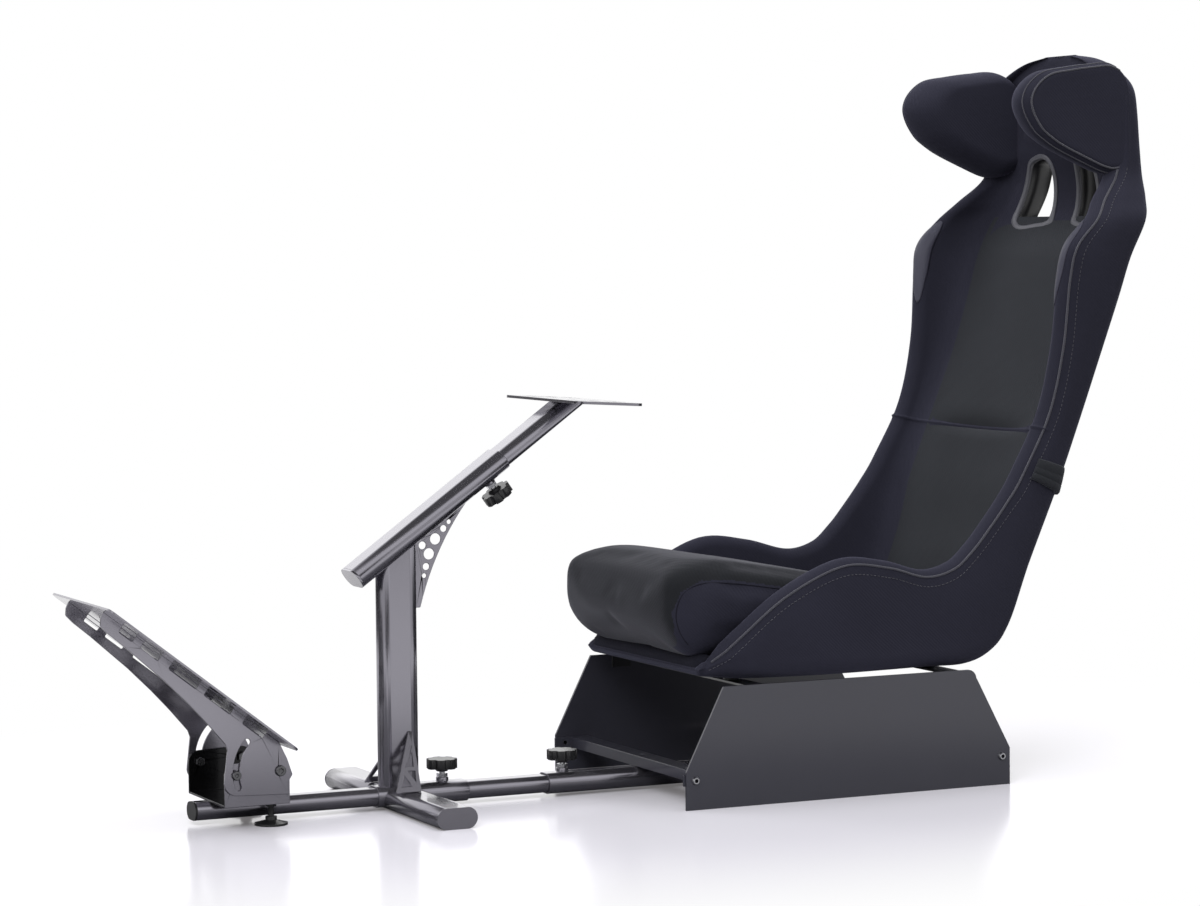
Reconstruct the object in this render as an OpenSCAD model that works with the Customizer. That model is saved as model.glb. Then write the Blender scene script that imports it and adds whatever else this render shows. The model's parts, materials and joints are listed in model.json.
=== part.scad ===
// Sim racing cockpit: bucket seat on two side panels, a telescopic floor rail,
// an upright with an inclined wheel column, and a tilting pedal plate.
// Origin: middle of the underside of the front cross foot. +Y runs back to the seat, +Z up.

/* [Side panels] */
// Distance between the outer faces of the two side panels
panel_gap = 450; // [400:5:500]
// Thickness of a side panel
panel_t = 4; // [2:0.5:8]
// Length of a side panel along the floor
panel_len = 528; // [460:2:600]
// Length of a side panel along its top edge
panel_top_len = 413; // [340:1:460]
// Height of a side panel
panel_h = 172; // [140:1:220]
// Height of the upright lower strip of a side panel
panel_kink_h = 54; // [30:1:80]
// Distance from the cross foot to the front of the panels
panel_front = 345; // [300:5:420]
// Radius of the rear upper corner of a panel
panel_corner_r = 14; // [4:1:30]
// Height of the cross bars
bar_h = 16; // [10:1:24]
// Thickness of the cross bars and seat rails
bar_t = 3; // [2:0.5:5]
// Depth of the cross bars' top flange
bar_flange = 26; // [15:1:40]
// Distance of the cross bars from the ends of the panels
bar_inset = 26; // [15:1:60]

/* [Floor rail] */
// Width of the sleeve tubes on the floor
sleeve_w = 44; // [38:1:56]
// Height of the sleeve tubes on the floor
sleeve_h = 30; // [26:1:36]
// Wall of the sleeve tubes
sleeve_wall = 2; // [1.5:0.25:3]
// Height of the rail's centre line above the floor
rail_z = 19; // [16:0.5:26]
// Clearance round the telescoping tubes
slide_gap = 0.3; // [0.2:0.05:0.6]
// Wall of the telescoping tubes
inner_wall = 1.5; // [1:0.25:3]
// Distance from the cross foot to the front end of the rail
rail_front = 309; // [260:1:360]
// Distance from the cross foot to the rear end of the rail
rail_rear = 556; // [480:2:620]
// Distance from the cross foot to the rear end of the front sleeve
front_sleeve_end = 101; // [80:1:130]
// Distance from the cross foot to the front end of the rear sleeve
rear_sleeve_start = 226; // [200:1:260]

/* [Cross foot and upright] */
// Width of the big flat-oval tube
tube_w = 60; // [50:1:80]
// Height of the big flat-oval tube
tube_h = 30; // [26:1:40]
// Wall of the big flat-oval tube
tube_wall = 2; // [1.5:0.25:4]
// Length of the cross foot
foot_len = 434; // [360:2:520]
// Thickness of the end plugs
cap_t = 3; // [2:0.5:6]

/* [Wheel column] */
// Slope of the wheel column above level
column_angle = 35.5; // [25:0.5:45]
// Height at which the column's centre line crosses the upright's
column_z = 377; // [320:1:440]
// Length of the outer column tube below the upright's centre
column_low = 81; // [60:1:100]
// Length of the outer column tube above the upright's centre
column_high = 198; // [180:1:240]
// Start of the inner column tube above the upright's centre
column_inner_start = 20; // [0:1:60]
// Length along the column from the upright's centre to the wheel plate
plate_reach = 331; // [300:1:360]
// Width of the wheel plate
plate_w = 260; // [200:2:320]
// Depth of the wheel plate
plate_d = 105; // [90:1:150]
// Thickness of the wheel plate
plate_t = 4; // [3:0.5:6]
// Downward tilt of the wheel plate towards the driver
plate_tilt = 3.5; // [0:0.5:10]
// Thickness of the sheet gussets
gusset_t = 3; // [2:0.5:5]
// Height of the truss gussets beside the upright
gusset_h = 79; // [50:1:110]
// Reach of the truss gussets along the cross foot
gusset_reach = 45; // [30:1:70]

/* [Pedal plate] */
// Distance from the cross foot to the pedal pivot
pivot_back = 206.7; // [190:0.1:230]
// Height of the pedal pivot
pivot_z = 78.5; // [70:0.5:95]
// Slope of the pedal plate
deck_angle = 38; // [30:0.5:45]
// Length of the pedal plate
deck_len = 336; // [280:2:380]
// Width of the pedal plate
deck_w = 270; // [220:2:320]
// Thickness of the pedal plate
deck_t = 3; // [2:0.5:5]
// Distance from the pivot up to the top face of the pedal plate
deck_rise = 33.2; // [30:0.1:40]
// Distance between the outer faces of the pedal side plates
side_gap = 163; // [140:1:190]
// Thickness of the pedal side plates
side_t = 3; // [2:0.5:5]
// Radius of the arc slots about the pivot
arc_r = 64; // [55:0.5:70]
// Width of the arc slots
arc_w = 9; // [8.5:0.1:11]
// Radius of the pedal pivot bolts
pivot_r = 5; // [4:0.5:6]
// Radial clearance of the pivot bolts
pin_gap = 0.05; // [0.02:0.01:0.1]
// Distance of each levelling foot from the rail's centre line
leveller_x = 52; // [45:1:60]
// Radius of the levelling discs
leveller_r = 23; // [18:0.5:25]

/* [Knobs] */
// Radius of the star knobs
knob_r = 22; // [16:0.5:26]
// Height of the star knobs
knob_h = 14; // [10:0.5:20]
// Number of lobes on a star knob
knob_lobes = 7; // [5:1:9]
// Radius of the knob screws
screw_r = 4; // [3:0.5:5]
// Distance from the tube's top to the underside of a knob's head
knob_lift = 18; // [14:0.5:26]

/* [Seat] */
// Half width of the seat shell at the hips
seat_half_w = 224; // [205:1:240]
// Gap between the top of the panels and the seat shell
seat_lift = 6; // [4:0.5:14]
// Distance from the cross foot to the front of the seat shell
seat_front = 375; // [350:1:420]
// Width of the padded rim of the shell
rim_w = 34; // [24:1:44]
// Thickness of the shell's floor
floor_t = 30; // [20:1:34]
// Height of the seat shell above its underside
seat_h = 897; // [840:1:940]
// Distance from the side of the shell at the hips to the side of the cushion
cushion_inset = 42; // [40:1:60]
// Distance from the side of the shell at the hips to the outer face of a head wing
wing_inset = 38; // [34:1:60]
// Height of the lower edge of the harness slots above the shell's underside
slot_rise = 637; // [600:1:660]
// Height of the harness slots
slot_h = 93; // [70:1:100]
// Thickness of the back pads
pad_t = 14; // [8:1:22]
// Gap that keeps soft pieces clear of their neighbours
soft_gap = 0.3; // [0.2:0.1:1]
// Thickness of a head wing
wing_t = 68; // [50:1:80]

/* [Hidden] */
steel = [0.36, 0.36, 0.40];
charcoal = [0.20, 0.20, 0.22];
fabric = [0.13, 0.13, 0.16];
trim = [0.45, 0.45, 0.50];
black = [0.05, 0.05, 0.05];
bright = [0.75, 0.75, 0.77];
round_fn = 64;
part_fn = 32;
inner_w = sleeve_w - 2 * sleeve_wall - 2 * slide_gap;
inner_h = sleeve_h - 2 * sleeve_wall - 2 * slide_gap;
column_w = tube_w - 2 * tube_wall - 2 * slide_gap;
column_h = tube_h - 2 * tube_wall - 2 * slide_gap;
sleeve_top = rail_z + sleeve_h / 2;
rail_top = rail_z + inner_h / 2;
panel_x = panel_gap / 2;
panel_back = panel_front + panel_len;
panel_top_front = panel_front + 60;
bolt_head_r = 6;
bolt_head_h = 4;

// Flat-oval tube profile with its width along X
module flat_oval(w, h) {
    union() {
        square([w - h, h], center = true);
        for (side = [-1, 1]) translate([side * (w - h) / 2, 0]) circle(d = h, $fn = round_fn);
    }
}

// Wall of a flat-oval tube
module tube_ring(w, h, wall) {
    difference() {
        flat_oval(w, h);
        flat_oval(w - 2 * wall, h - 2 * wall);
    }
}

// Extrusion along +Y from y, with the profile's width along X
module run_y(y, length, z) {
    translate([0, y, z]) rotate([-90, 0, 0]) linear_extrude(length) children();
}

// Sheet of thickness t in the plane of Y and Z, drawn in (y, z), with its middle at x
module sheet_yz(x, t) {
    translate([x - t / 2, 0, 0]) rotate([90, 0, 90]) linear_extrude(t) children();
}

// Side panels

module panel_outline() {
    top_back = panel_top_front + panel_top_len;
    union() {
        polygon([[panel_front, 0], [panel_back, 0], [panel_back, panel_kink_h],
            [top_back, panel_h - panel_corner_r], [top_back - panel_corner_r, panel_h],
            [panel_top_front, panel_h], [panel_front, panel_kink_h]]);
        translate([top_back - panel_corner_r - 1, panel_h - panel_corner_r])
            circle(r = panel_corner_r, $fn = round_fn);
    }
}

module side_panel(side) {
    color(charcoal) difference() {
        sheet_yz(side * (panel_x - panel_t / 2), panel_t) panel_outline();
        bolt_holes();
    }
}

bar_front_y = panel_front + bar_inset;
bar_rear_y = panel_back - bar_inset;
bar_top = sleeve_top + bar_h;
rail_front_y = panel_front + 110;
rail_rear_y = panel_back - 98;
seat_rail_w = 30;
bolt_places = [[panel_front + 14, sleeve_top + bar_h / 2], [panel_back - 14, sleeve_top + bar_h / 2]];
bolt_r = 3.2;
tab_w = 30;

// Holes of the panel bolts, right across the base
module bolt_holes() {
    for (p = bolt_places) translate([0, p[0], p[1]]) rotate([0, 90, 0])
        cylinder(r = bolt_r + 0.1, h = 2 * panel_gap, center = true, $fn = part_fn);
}

// Angle bar between the panels, with an end tab that the panel bolts go into
module cross_bar(y, tab_dir) {
    half = panel_x - panel_t;
    color(charcoal) difference() {
        union() {
            translate([-half, y - bar_t / 2, sleeve_top]) cube([2 * half, bar_t, bar_h]);
            translate([-half, min(y, y + tab_dir * bar_flange) - bar_t / 2, bar_top - bar_t])
                cube([2 * half, bar_flange + bar_t, bar_t]);
            for (side = [-1, 1]) translate([side * (half - bar_t / 2) - bar_t / 2,
                tab_dir > 0 ? y - tab_w + bar_t / 2 : y - bar_t / 2, sleeve_top])
                cube([bar_t, tab_w, bar_h]);
        }
        bolt_holes();
        translate([0, y + tab_dir * bar_flange / 2, bar_top])
            cylinder(r = 4.2, h = 4 * bar_t, center = true, $fn = part_fn);
    }
}

module seat_rail(y) {
    half = panel_x - panel_t;
    color(black) union() {
        translate([-half, y - seat_rail_w / 2, panel_h - bar_t])
            cube([2 * half, seat_rail_w, bar_t]);
        for (side = [-1, 1]) translate([side * (half - bar_t / 2) - bar_t / 2, y - seat_rail_w / 2,
            panel_h - 20]) cube([bar_t, seat_rail_w, 20]);
        for (side = [-1, 1]) translate([side * 150, y, panel_h])
            cylinder(r = 12, h = seat_lift, $fn = part_fn);
    }
}

// Button-headed bolt lying along X, its head outside the panel
module side_bolt(side) {
    rotate([0, side * 90, 0]) union() {
        cylinder(r1 = bolt_head_r, r2 = bolt_head_r - 1.5, h = bolt_head_h, $fn = part_fn);
        translate([0, 0, -panel_t - bar_t]) cylinder(r = bolt_r, h = panel_t + bar_t, $fn = part_fn);
    }
}

module panel_bolts(side) {
    color(bright) for (p = bolt_places) translate([side * panel_x, p[0], p[1]]) side_bolt(side);
}

module rear_sleeve() {
    color(steel) difference() {
        union() {
            run_y(rear_sleeve_start, bar_rear_y + bar_flange - rear_sleeve_start, rail_z)
                tube_ring(sleeve_w, sleeve_h, sleeve_wall);
            translate([0, rear_knob_y, sleeve_top - 1]) cylinder(r = boss_r, h = boss_h + 1, $fn = part_fn);
        }
        run_y(rear_sleeve_start - 1, panel_back, rail_z)
            flat_oval(sleeve_w - 2 * sleeve_wall, sleeve_h - 2 * sleeve_wall);
        translate([0, rear_knob_y, rail_z]) cylinder(r = screw_r + pin_gap, h = 40, $fn = round_fn);
    }
}

boss_r = 9;
boss_h = 6;
rear_knob_y = rear_sleeve_start + 29;
front_knob_y = front_sleeve_end - 34;
column_knob_s = column_high - 32;

// Star knob: fluted head on a screw, its tip at the origin pointing down, head up
module star_knob(reach) {
    head_z = reach + knob_lift;
    color(black) union() {
        difference() {
            translate([0, 0, head_z]) cylinder(r = knob_r, h = knob_h, $fn = round_fn);
            for (i = [0 : knob_lobes - 1]) rotate(i * 360 / knob_lobes)
                translate([knob_r + 1.5, 0, head_z - 1]) cylinder(r = 5, h = knob_h + 2, $fn = part_fn);
        }
        translate([0, 0, head_z - 4]) cylinder(r1 = 8, r2 = 11, h = 4, $fn = part_fn);
        cylinder(r = screw_r, h = head_z, $fn = round_fn);
        translate([0, 0, reach + boss_h + soft_gap]) cylinder(r = 8, h = 5, $fn = 6);
    }
}

// Floor rail and front frame

module pedal_rail() {
    color(steel) run_y(-rail_front + cap_t, rail_front + rail_rear - cap_t, rail_z)
        tube_ring(inner_w, inner_h, inner_wall);
}

module rail_cap() {
    color(black) run_y(-rail_front, cap_t, rail_z) flat_oval(inner_w, inner_h);
}

module cross_foot() {
    color(steel) difference() {
        translate([-foot_len / 2 + cap_t, 0, tube_h / 2]) rotate([0, 90, 0])
            linear_extrude(foot_len - 2 * cap_t) rotate(90) tube_ring(tube_w, tube_h, tube_wall);
        run_y(-tube_w, 2 * tube_w, rail_z) flat_oval(sleeve_w, sleeve_h);
    }
}

module foot_cap(side) {
    color(steel) translate([side * (foot_len / 2 - cap_t / 2), 0, tube_h / 2]) rotate([0, 90, 0])
        linear_extrude(cap_t, center = true) rotate(90) flat_oval(tube_w, tube_h);
}

module front_sleeve() {
    start = -tube_w / 2 - 8;
    color(steel) difference() {
        union() {
            run_y(start, front_sleeve_end - start, rail_z) tube_ring(sleeve_w, sleeve_h, sleeve_wall);
            translate([0, front_knob_y, sleeve_top - 1]) cylinder(r = boss_r, h = boss_h + 1, $fn = part_fn);
        }
        run_y(start - 1, front_sleeve_end * 2, rail_z)
            flat_oval(sleeve_w - 2 * sleeve_wall, sleeve_h - 2 * sleeve_wall);
        translate([0, front_knob_y, rail_z]) cylinder(r = screw_r + pin_gap, h = 40, $fn = round_fn);
    }
}

module on_column() {
    translate([0, 0, column_z]) rotate([column_angle - 90, 0, 0]) children();
}

module upright() {
    color(steel) difference() {
        translate([0, 0, tube_h]) linear_extrude(column_z + 40 - tube_h) rotate(90)
            tube_ring(tube_w, tube_h, tube_wall);
        run_y(-tube_w, 2 * tube_w, rail_z) flat_oval(sleeve_w, sleeve_h);
        on_column() translate([0, 0, -column_low - 40]) linear_extrude(column_low + column_high)
            flat_oval(tube_w, tube_h);
        on_column() translate([-tube_w, -tube_h * 4, -column_low - 40])
            cube([2 * tube_w, tube_h * 4, column_low + column_high]);
    }
}

module column_outer() {
    color(steel) difference() {
        on_column() union() {
            translate([0, 0, -column_low + cap_t]) linear_extrude(column_low + column_high - cap_t)
                tube_ring(tube_w, tube_h, tube_wall);
            translate([0, tube_h / 2 - 1, column_knob_s]) rotate([-90, 0, 0])
                cylinder(r = boss_r, h = boss_h + 1, $fn = part_fn);
        }
        on_column() translate([0, 0, -column_low]) linear_extrude(column_low + column_high + 10)
            flat_oval(tube_w - 2 * tube_wall, tube_h - 2 * tube_wall);
        on_column() translate([0, 0, column_knob_s]) rotate([-90, 0, 0])
            cylinder(r = screw_r + pin_gap, h = 40, $fn = round_fn);
    }
}

module column_cap() {
    color(steel) on_column() translate([0, 0, -column_low]) linear_extrude(cap_t)
        flat_oval(tube_w, tube_h);
}

// Perforated web behind the upright, under the column: its free edge is a shallow arc
web_drop = 93;
web_tip = 7;
web_run = 90;
web_sag = 10;
web_start = [tube_w / 2 + web_tip, column_z - web_drop];
web_stop = [tube_w / 2 + web_run, under_column(tube_w / 2 + web_run)];
// Holes of the web: [share of the way along its free edge, distance in from the edge, radius]
web_holes = [[0.238, 7.7, 3.3], [0.309, 9.6, 5], [0.409, 12.6, 8], [0.537, 13, 8], [0.64, 9, 4.8],
    [0.707, 6.6, 3.3], [0.445, 27, 5.5]];
function under_column(y) = column_z + y * tan(column_angle) - tube_h / 2 / cos(column_angle);
function web_edge(f, inset) = let (run = web_stop - web_start, u = run / norm(run))
    web_start + run * f + [-u[1], u[0]] * (inset + 4 * web_sag * f * (1 - f));

module column_gusset() {
    back = tube_w / 2;
    color(steel) difference() {
        sheet_yz(0, gusset_t) polygon(concat([[back, web_start[1]]],
            [for (k = [0 : 12]) web_edge(k / 12, 0)], [[back, under_column(back)]]));
        for (h = web_holes) let (c = web_edge(h[0], h[1])) translate([0, c[0], c[1]]) rotate([0, 90, 0])
            cylinder(r = h[2], h = 4 * gusset_t, center = true, $fn = part_fn);
    }
}

// Truss gusset leaning from the cross foot to the flat side of the upright
module base_gusset(side) {
    slope = sqrt(pow(gusset_h, 2) + pow(gusset_reach, 2));
    lean = atan2(gusset_h, gusset_reach);
    color(steel) mirror([side > 0 ? 0 : 1, 0, 0]) translate([tube_h / 2 + gusset_reach, 0, tube_h])
        rotate([0, lean, 0]) mirror([1, 0, 0]) linear_extrude(gusset_t) difference() {
            polygon([[0, -28], [slope, 9], [slope, 15], [0, 10]]);
            polygon([[8, -19], [8, -2], [26, -10]]);
            polygon([[14, 5], [32, 7], [32, -5]]);
            polygon([[38, -7], [38, 6], [60, 8]]);
            polygon([[54, 3.5], [70, 10], [66, 4]]);
        }
}

module column_inner() {
    color(steel) difference() {
        on_column() translate([0, 0, column_inner_start])
            linear_extrude(plate_reach - column_inner_start + 60) tube_ring(column_w, column_h, inner_wall);
        on_plate() translate([-tube_w, -tube_w * 2, 0]) cube([2 * tube_w, 4 * tube_w, 100]);
    }
}

plate_mid_y = plate_reach * cos(column_angle) + 10;
plate_mid_z = column_z + plate_reach * sin(column_angle);

// Frame of the wheel plate: its underside is local z = 0, with local x along X
module on_plate() {
    translate([0, plate_mid_y, plate_mid_z]) rotate([-plate_tilt, 0, 0]) children();
}

module wheel_plate() {
    r = 12;
    color(steel) on_plate() linear_extrude(plate_t) difference() {
        hull() for (sx = [-1, 1], sy = [-1, 1])
            translate([sx * (plate_w / 2 - r), sy * (plate_d / 2 - r)]) circle(r = r, $fn = part_fn);
        for (x = [-90, -60, 60, 90], sy = [-1, 1]) translate([x, sy * 30]) flat_slot(7, 20);
        for (sx = [-1, 1]) translate([sx * 75, 0]) rotate(90) flat_slot(7, 40);
        for (sx = [-1, 1]) translate([sx * 112, 0]) flat_slot(7, 50);
    }
}

// Slot of width w and length along Y
module flat_slot(w, length) {
    union() {
        square([w, length - w], center = true);
        for (s = [-1, 1]) translate([0, s * (length - w) / 2]) circle(d = w, $fn = part_fn);
    }
}

// Pedal plate

pivot_y = -pivot_back;
side_x = side_gap / 2 - side_t / 2;
bracket_x = side_gap / 2 - side_t - 1;
bracket_t = 3;
arc_from = 138;
arc_step = 3;
arc_to = arc_from + 20 * arc_step;
lock_angle = 182;
lock_y = pivot_y + arc_r * cos(lock_angle);
lock_z = pivot_z + arc_r * sin(lock_angle);
bracket_front = lock_y - 16;
bracket_back = pivot_y + 15;

module pedal_bracket() {
    color(steel) difference() {
        union() {
            translate([-bracket_x, bracket_front, rail_top])
                cube([2 * bracket_x, bracket_back - bracket_front, bracket_t]);
            for (side = [-1, 1]) sheet_yz(side * (bracket_x - bracket_t / 2), bracket_t) bracket_outline();
        }
        for (side = [-1, 1]) {
            translate([side * bracket_x, pivot_y, pivot_z]) rotate([0, 90, 0])
                cylinder(r = pivot_r, h = 5 * bracket_t, center = true, $fn = round_fn);
            translate([side * bracket_x, lock_y, lock_z]) rotate([0, 90, 0])
                cylinder(r = 4, h = 5 * bracket_t, center = true, $fn = round_fn);
            translate([side * leveller_x, pivot_y - 4, 0])
                cylinder(r = 4, h = 100, $fn = round_fn);
        }
    }
}

module bracket_outline() {
    hull() {
        translate([pivot_y, pivot_z]) circle(r = 15, $fn = part_fn);
        translate([lock_y, lock_z]) circle(r = 16, $fn = part_fn);
        translate([bracket_front, rail_top]) square([bracket_back - bracket_front, bracket_t]);
    }
}

module leveller(side) {
    color(black) translate([side * leveller_x, pivot_y - 4, 0]) union() {
        cylinder(r = leveller_r, h = 3, $fn = round_fn);
        translate([0, 0, 3]) cylinder(r1 = leveller_r - 1, r2 = 8, h = 4, $fn = round_fn);
        cylinder(r = 8, h = 12, $fn = part_fn);
        cylinder(r = 4, h = rail_top + bracket_t + 12, $fn = round_fn);
        translate([0, 0, rail_top - 6]) cylinder(r = 7.5, h = 6, $fn = 6);
        translate([0, 0, rail_top + bracket_t]) cylinder(r = 7.5, h = 6, $fn = 6);
    }
}

// Bolt along X through a side plate into the bracket
module plate_bolt(side, y, z, r) {
    head = side_gap / 2 + 0.5;
    translate([side * (bracket_x - bracket_t), y, z]) rotate([0, side * 90, 0]) union() {
        cylinder(r = r, h = head - bracket_x + bracket_t, $fn = round_fn);
        translate([0, 0, head - bracket_x + bracket_t]) difference() {
            cylinder(r1 = r + 3, r2 = r + 2, h = 4, $fn = part_fn);
            translate([0, 0, 2]) cylinder(r = r - 1.5, h = 4, $fn = 6);
        }
        translate([0, 0, -6]) cylinder(r = r + 3, h = 6, $fn = 6);
    }
}

module pivot_bolts() {
    color(bright) for (side = [-1, 1]) plate_bolt(side, pivot_y, pivot_z, pivot_r);
}

module lock_bolts() {
    color(bright) for (side = [-1, 1]) plate_bolt(side, lock_y, lock_z, 4);
}

// Local frame of the pedal plate: origin at the pivot, local y up the slope, local z out of its face
module on_deck() {
    translate([0, pivot_y, pivot_z]) mirror([0, 1, 0]) rotate([deck_angle, 0, 0]) children();
}

deck_low = 13.6;
deck_high = deck_low + deck_len;
lobe_r = arc_w / 2 + 14;
lobe = on_arc([0, 0], arc_r, -49);

function on_arc(c, r, a) = [c[0] + r * cos(a), c[1] + r * sin(a)];

// Side plate outline in the deck's frame: up-slope distance, height along the plate's normal
module side_outline() {
    under = deck_rise - deck_t;
    polygon(concat([[deck_low + 11, under], [2, under - 11], [-18, 6], [-19, -7], [-30, -19]],
        [for (a = [-126 : 14 : -28]) on_arc(lobe, lobe_r, a)],
        [[arc_r + 16, -21], [arc_r + 24, under - 46]],
        [for (f = [0.15, 0.3, 0.48, 0.75])
            [mix(arc_r + 24, deck_high, f), under - 20 - 26 * pow(1 - f, 2.3)]],
        [ [deck_high - 33, under - 20], [deck_high - 19, under - 18],
        [deck_high - 13, under - 9], [deck_high - 11, under]]));
}

module pedal_side(side) {
    color(steel) difference() {
        on_deck() sheet_yz(side * side_x, side_t) difference() {
            side_outline();
            for (n = notches) translate([n[0], deck_rise - deck_t - notch_h])
                offset(r = 2, $fn = part_fn) offset(delta = -2) square([n[1] - n[0], 2 * notch_h]);
        }
        translate([side * side_x, pivot_y, pivot_z]) rotate([0, 90, 0])
            cylinder(r = pivot_r + pin_gap, h = 3 * side_t, center = true, $fn = round_fn);
        translate([side * side_x, pivot_y, pivot_z]) arc_cut();
    }
}

// Arc slot about the pivot, cut along X
module arc_cut() {
    r = arc_w / 2;
    rotate([90, 0, 90]) linear_extrude(3 * side_t, center = true) polygon(concat(
        [for (a = [arc_from : arc_step : arc_to]) on_arc([0, 0], arc_r + r, a)],
        [for (a = [20 : 20 : 160]) on_arc(on_arc([0, 0], arc_r, arc_to), r, arc_to + a)],
        [for (a = [arc_to : -arc_step : arc_from]) on_arc([0, 0], arc_r - r, a)],
        [for (a = [200 : 20 : 340]) on_arc(on_arc([0, 0], arc_r, arc_from), r, arc_from + a)]));
}

slot_w = 10;
slots_across = 5;
// Rows of slots in the plate, and notches in the top edges of its side plates: distances up the slope
slot_rows = [[22, 95], [116, 216], [237, 315]];
notches = [[48, 85], [107, 154], [168, 217], [236, 267], [281, 305]];
notch_h = 9;

module pedal_plate() {
    r = 10;
    color(steel) on_deck() translate([0, deck_low + deck_len / 2, deck_rise - deck_t]) linear_extrude(deck_t)
        difference() {
            hull() for (sx = [-1, 1], sy = [-1, 1])
                translate([sx * (deck_w / 2 - r), sy * (deck_len / 2 - r)]) circle(r = r, $fn = part_fn);
            for (col = [0 : slots_across - 1], row = slot_rows)
                translate([(col - (slots_across - 1) / 2) * deck_w / slots_across,
                    (row[0] + row[1]) / 2 - deck_low - deck_len / 2]) flat_slot(slot_w, row[1] - row[0]);
        }
}

// Seat shell: sections along the seat, each [outer y, outer z, rim y, rim z, extra half width, crown, wall]
seat_z = panel_h + seat_lift;
// Distance of the shell's front edge behind the cushion's line at its narrow front corners
lip_back = 16;
stations = [
    [lip_back, 5, lip_back + 8, 25, -36, 0, floor_t * 0.4],
    [66, 1, 60, 71, -5, 0, floor_t * 0.7],
    [137, 0, 130, 128, 7, 0, floor_t],
    [222, 0, 216, 166, 13, 0, floor_t],
    [305, 0, 292, 160, 8, 0, floor_t],
    [370, 0, 358, 143, 1, 0, floor_t],
    [425, 4, 405, 152, 0, 3, floor_t],
    [462, 21, 437, 178, 0, 6, floor_t],
    [490, 55, 462, 206, 0, 8, floor_t],
    [528, 140, 492, 244, 0, 12, 28],
    [577, 254, 518, 284, -1, 14, 26],
    [615, 347, 561, 366, -2, 14, 26],
    [655, 439, 584, 462, 0, 14, 26],
    [690, 530, 593, 562, 5, 16, 28],
    [712, 590, 603, 609, 10, 18, 28],
    [738, 644, 637, 646, 9, 22, 28],
    [752, 677, 664, 676, -12, 20, 30],
    [761, 712, 698, 712, -34, 14, 34],
    [761, 752, 706, 752, -38, 8, 40],
    [757, 805, 707, 805, -38, 6, 44],
    [750, 848, 709, 848, -38, 6, 38],
    [744, 868, 711, 866, -48, 4, 30],
    [737, 882, 713, 880, -78, 2, 20],
    [731, 892, 715, 890, -120, 1, 12],
    [726, 897, 718, 896, -176, 0, 6]];
// Section at the middle of the head
head_at = 18;

function mix(a, b, f) = a + (b - a) * f;
function smooth(p0, p1, p2, p3, f) =
    0.5 * (2 * p1 + (p2 - p0) * f + (2 * p0 - 5 * p1 + 4 * p2 - p3) * f * f
    + (3 * p1 - p0 - 3 * p2 + p3) * f * f * f);
last = len(stations) - 1;
// The shell's height acts on its back only, above the hips
hip_h = 60;
function rise(z) = z < hip_h ? z : hip_h + (z - hip_h) * (seat_h - hip_h) / (stations[last][1] - hip_h);
function station(i) = let (s = stations[max(0, min(last, i))])
    [s[0], rise(s[1]), s[2], rise(s[3]), s[4], s[5], s[6]];
function at(t) = let (i = min(last - 1, floor(t)), f = t - i)
    smooth(station(i - 1), station(i), station(i + 1), station(i + 2), f);

// Point of section s at half-width fraction place x and depth d from the outer skin
function skin(s, x, d) = let (run = [s[2] - s[0], s[3] - s[1]], u = run / norm(run))
    [x, seat_front + s[0] + u[0] * d, seat_z + s[1] + u[1] * d];
function depth(s) = norm([s[2] - s[0], s[3] - s[1]]);
function half(s) = seat_half_w + s[4];
function crown(s, x) = s[5] * (1 - pow(x / half(s), 2));
function rim_r(s) = rim_w / 2 * min(1, depth(s) / 50);
function wall(s) = min(s[6], depth(s) - 0.9 * rim_r(s));

// Inner skin of a section between the bolsters, from right to left, lifted off it by lift
corner_r = 26;
side_steps = 6;
bed_edge = 12;
// Extra curve of the inner skin towards the bolsters, as a share of the outer skin's crown
bucket = 1.6;
function foot(s) = half(s) - 2 * rim_r(s) - 8;
function across(w, k) = mix(-w, w, k / side_steps);
function hollow(s, x) = wall(s) - crown(s, x) + bucket * s[5] * pow(x / half(s), 2);
function bed(s, lift, share = 1) = let (w = (foot(s) - bed_edge) * share)
    [for (k = [0 : side_steps]) let (x = across(w, k)) [x, lift + hollow(s, x)]];

// Outer skin of a section between its corners, from right to left, lifted off it by lift
function back_w(s) = half(s) - min(corner_r, depth(s) * 0.5);
function back(s, lift) = [for (k = [0 : side_steps]) let (x = across(back_w(s), k)) [x, -lift - crown(s, x)]];
function flip(points) = [for (i = [len(points) - 1 : -1 : 0]) points[i]];

// Closed loop of one section: outer skin, rim, inner skin
function corner(s, a, side) = let (b = back_w(s), r = half(s) - b)
    [side * (b + r * cos(a)), r - (r + crown(s, b)) * sin(a)];
function rim(s, side) = let (q = rim_r(s))
    [for (a = [0 : 45 : 180]) [side * (half(s) - q) + q * cos(a), depth(s) - q + q * sin(a)]];
function inner_foot(s, side) = [side * foot(s), min(6 + hollow(s, foot(s)), depth(s) - rim_r(s))];
function loop(s) = concat(
    [for (a = [0 : 22.5 : 67.5]) corner(s, a, -1)], back(s, 0),
    [for (a = [67.5 : -22.5 : 0]) corner(s, a, 1)], rim(s, 1),
    [inner_foot(s, 1)], flip(bed(s, 0)), [inner_foot(s, -1)], rim(s, -1));

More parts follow.
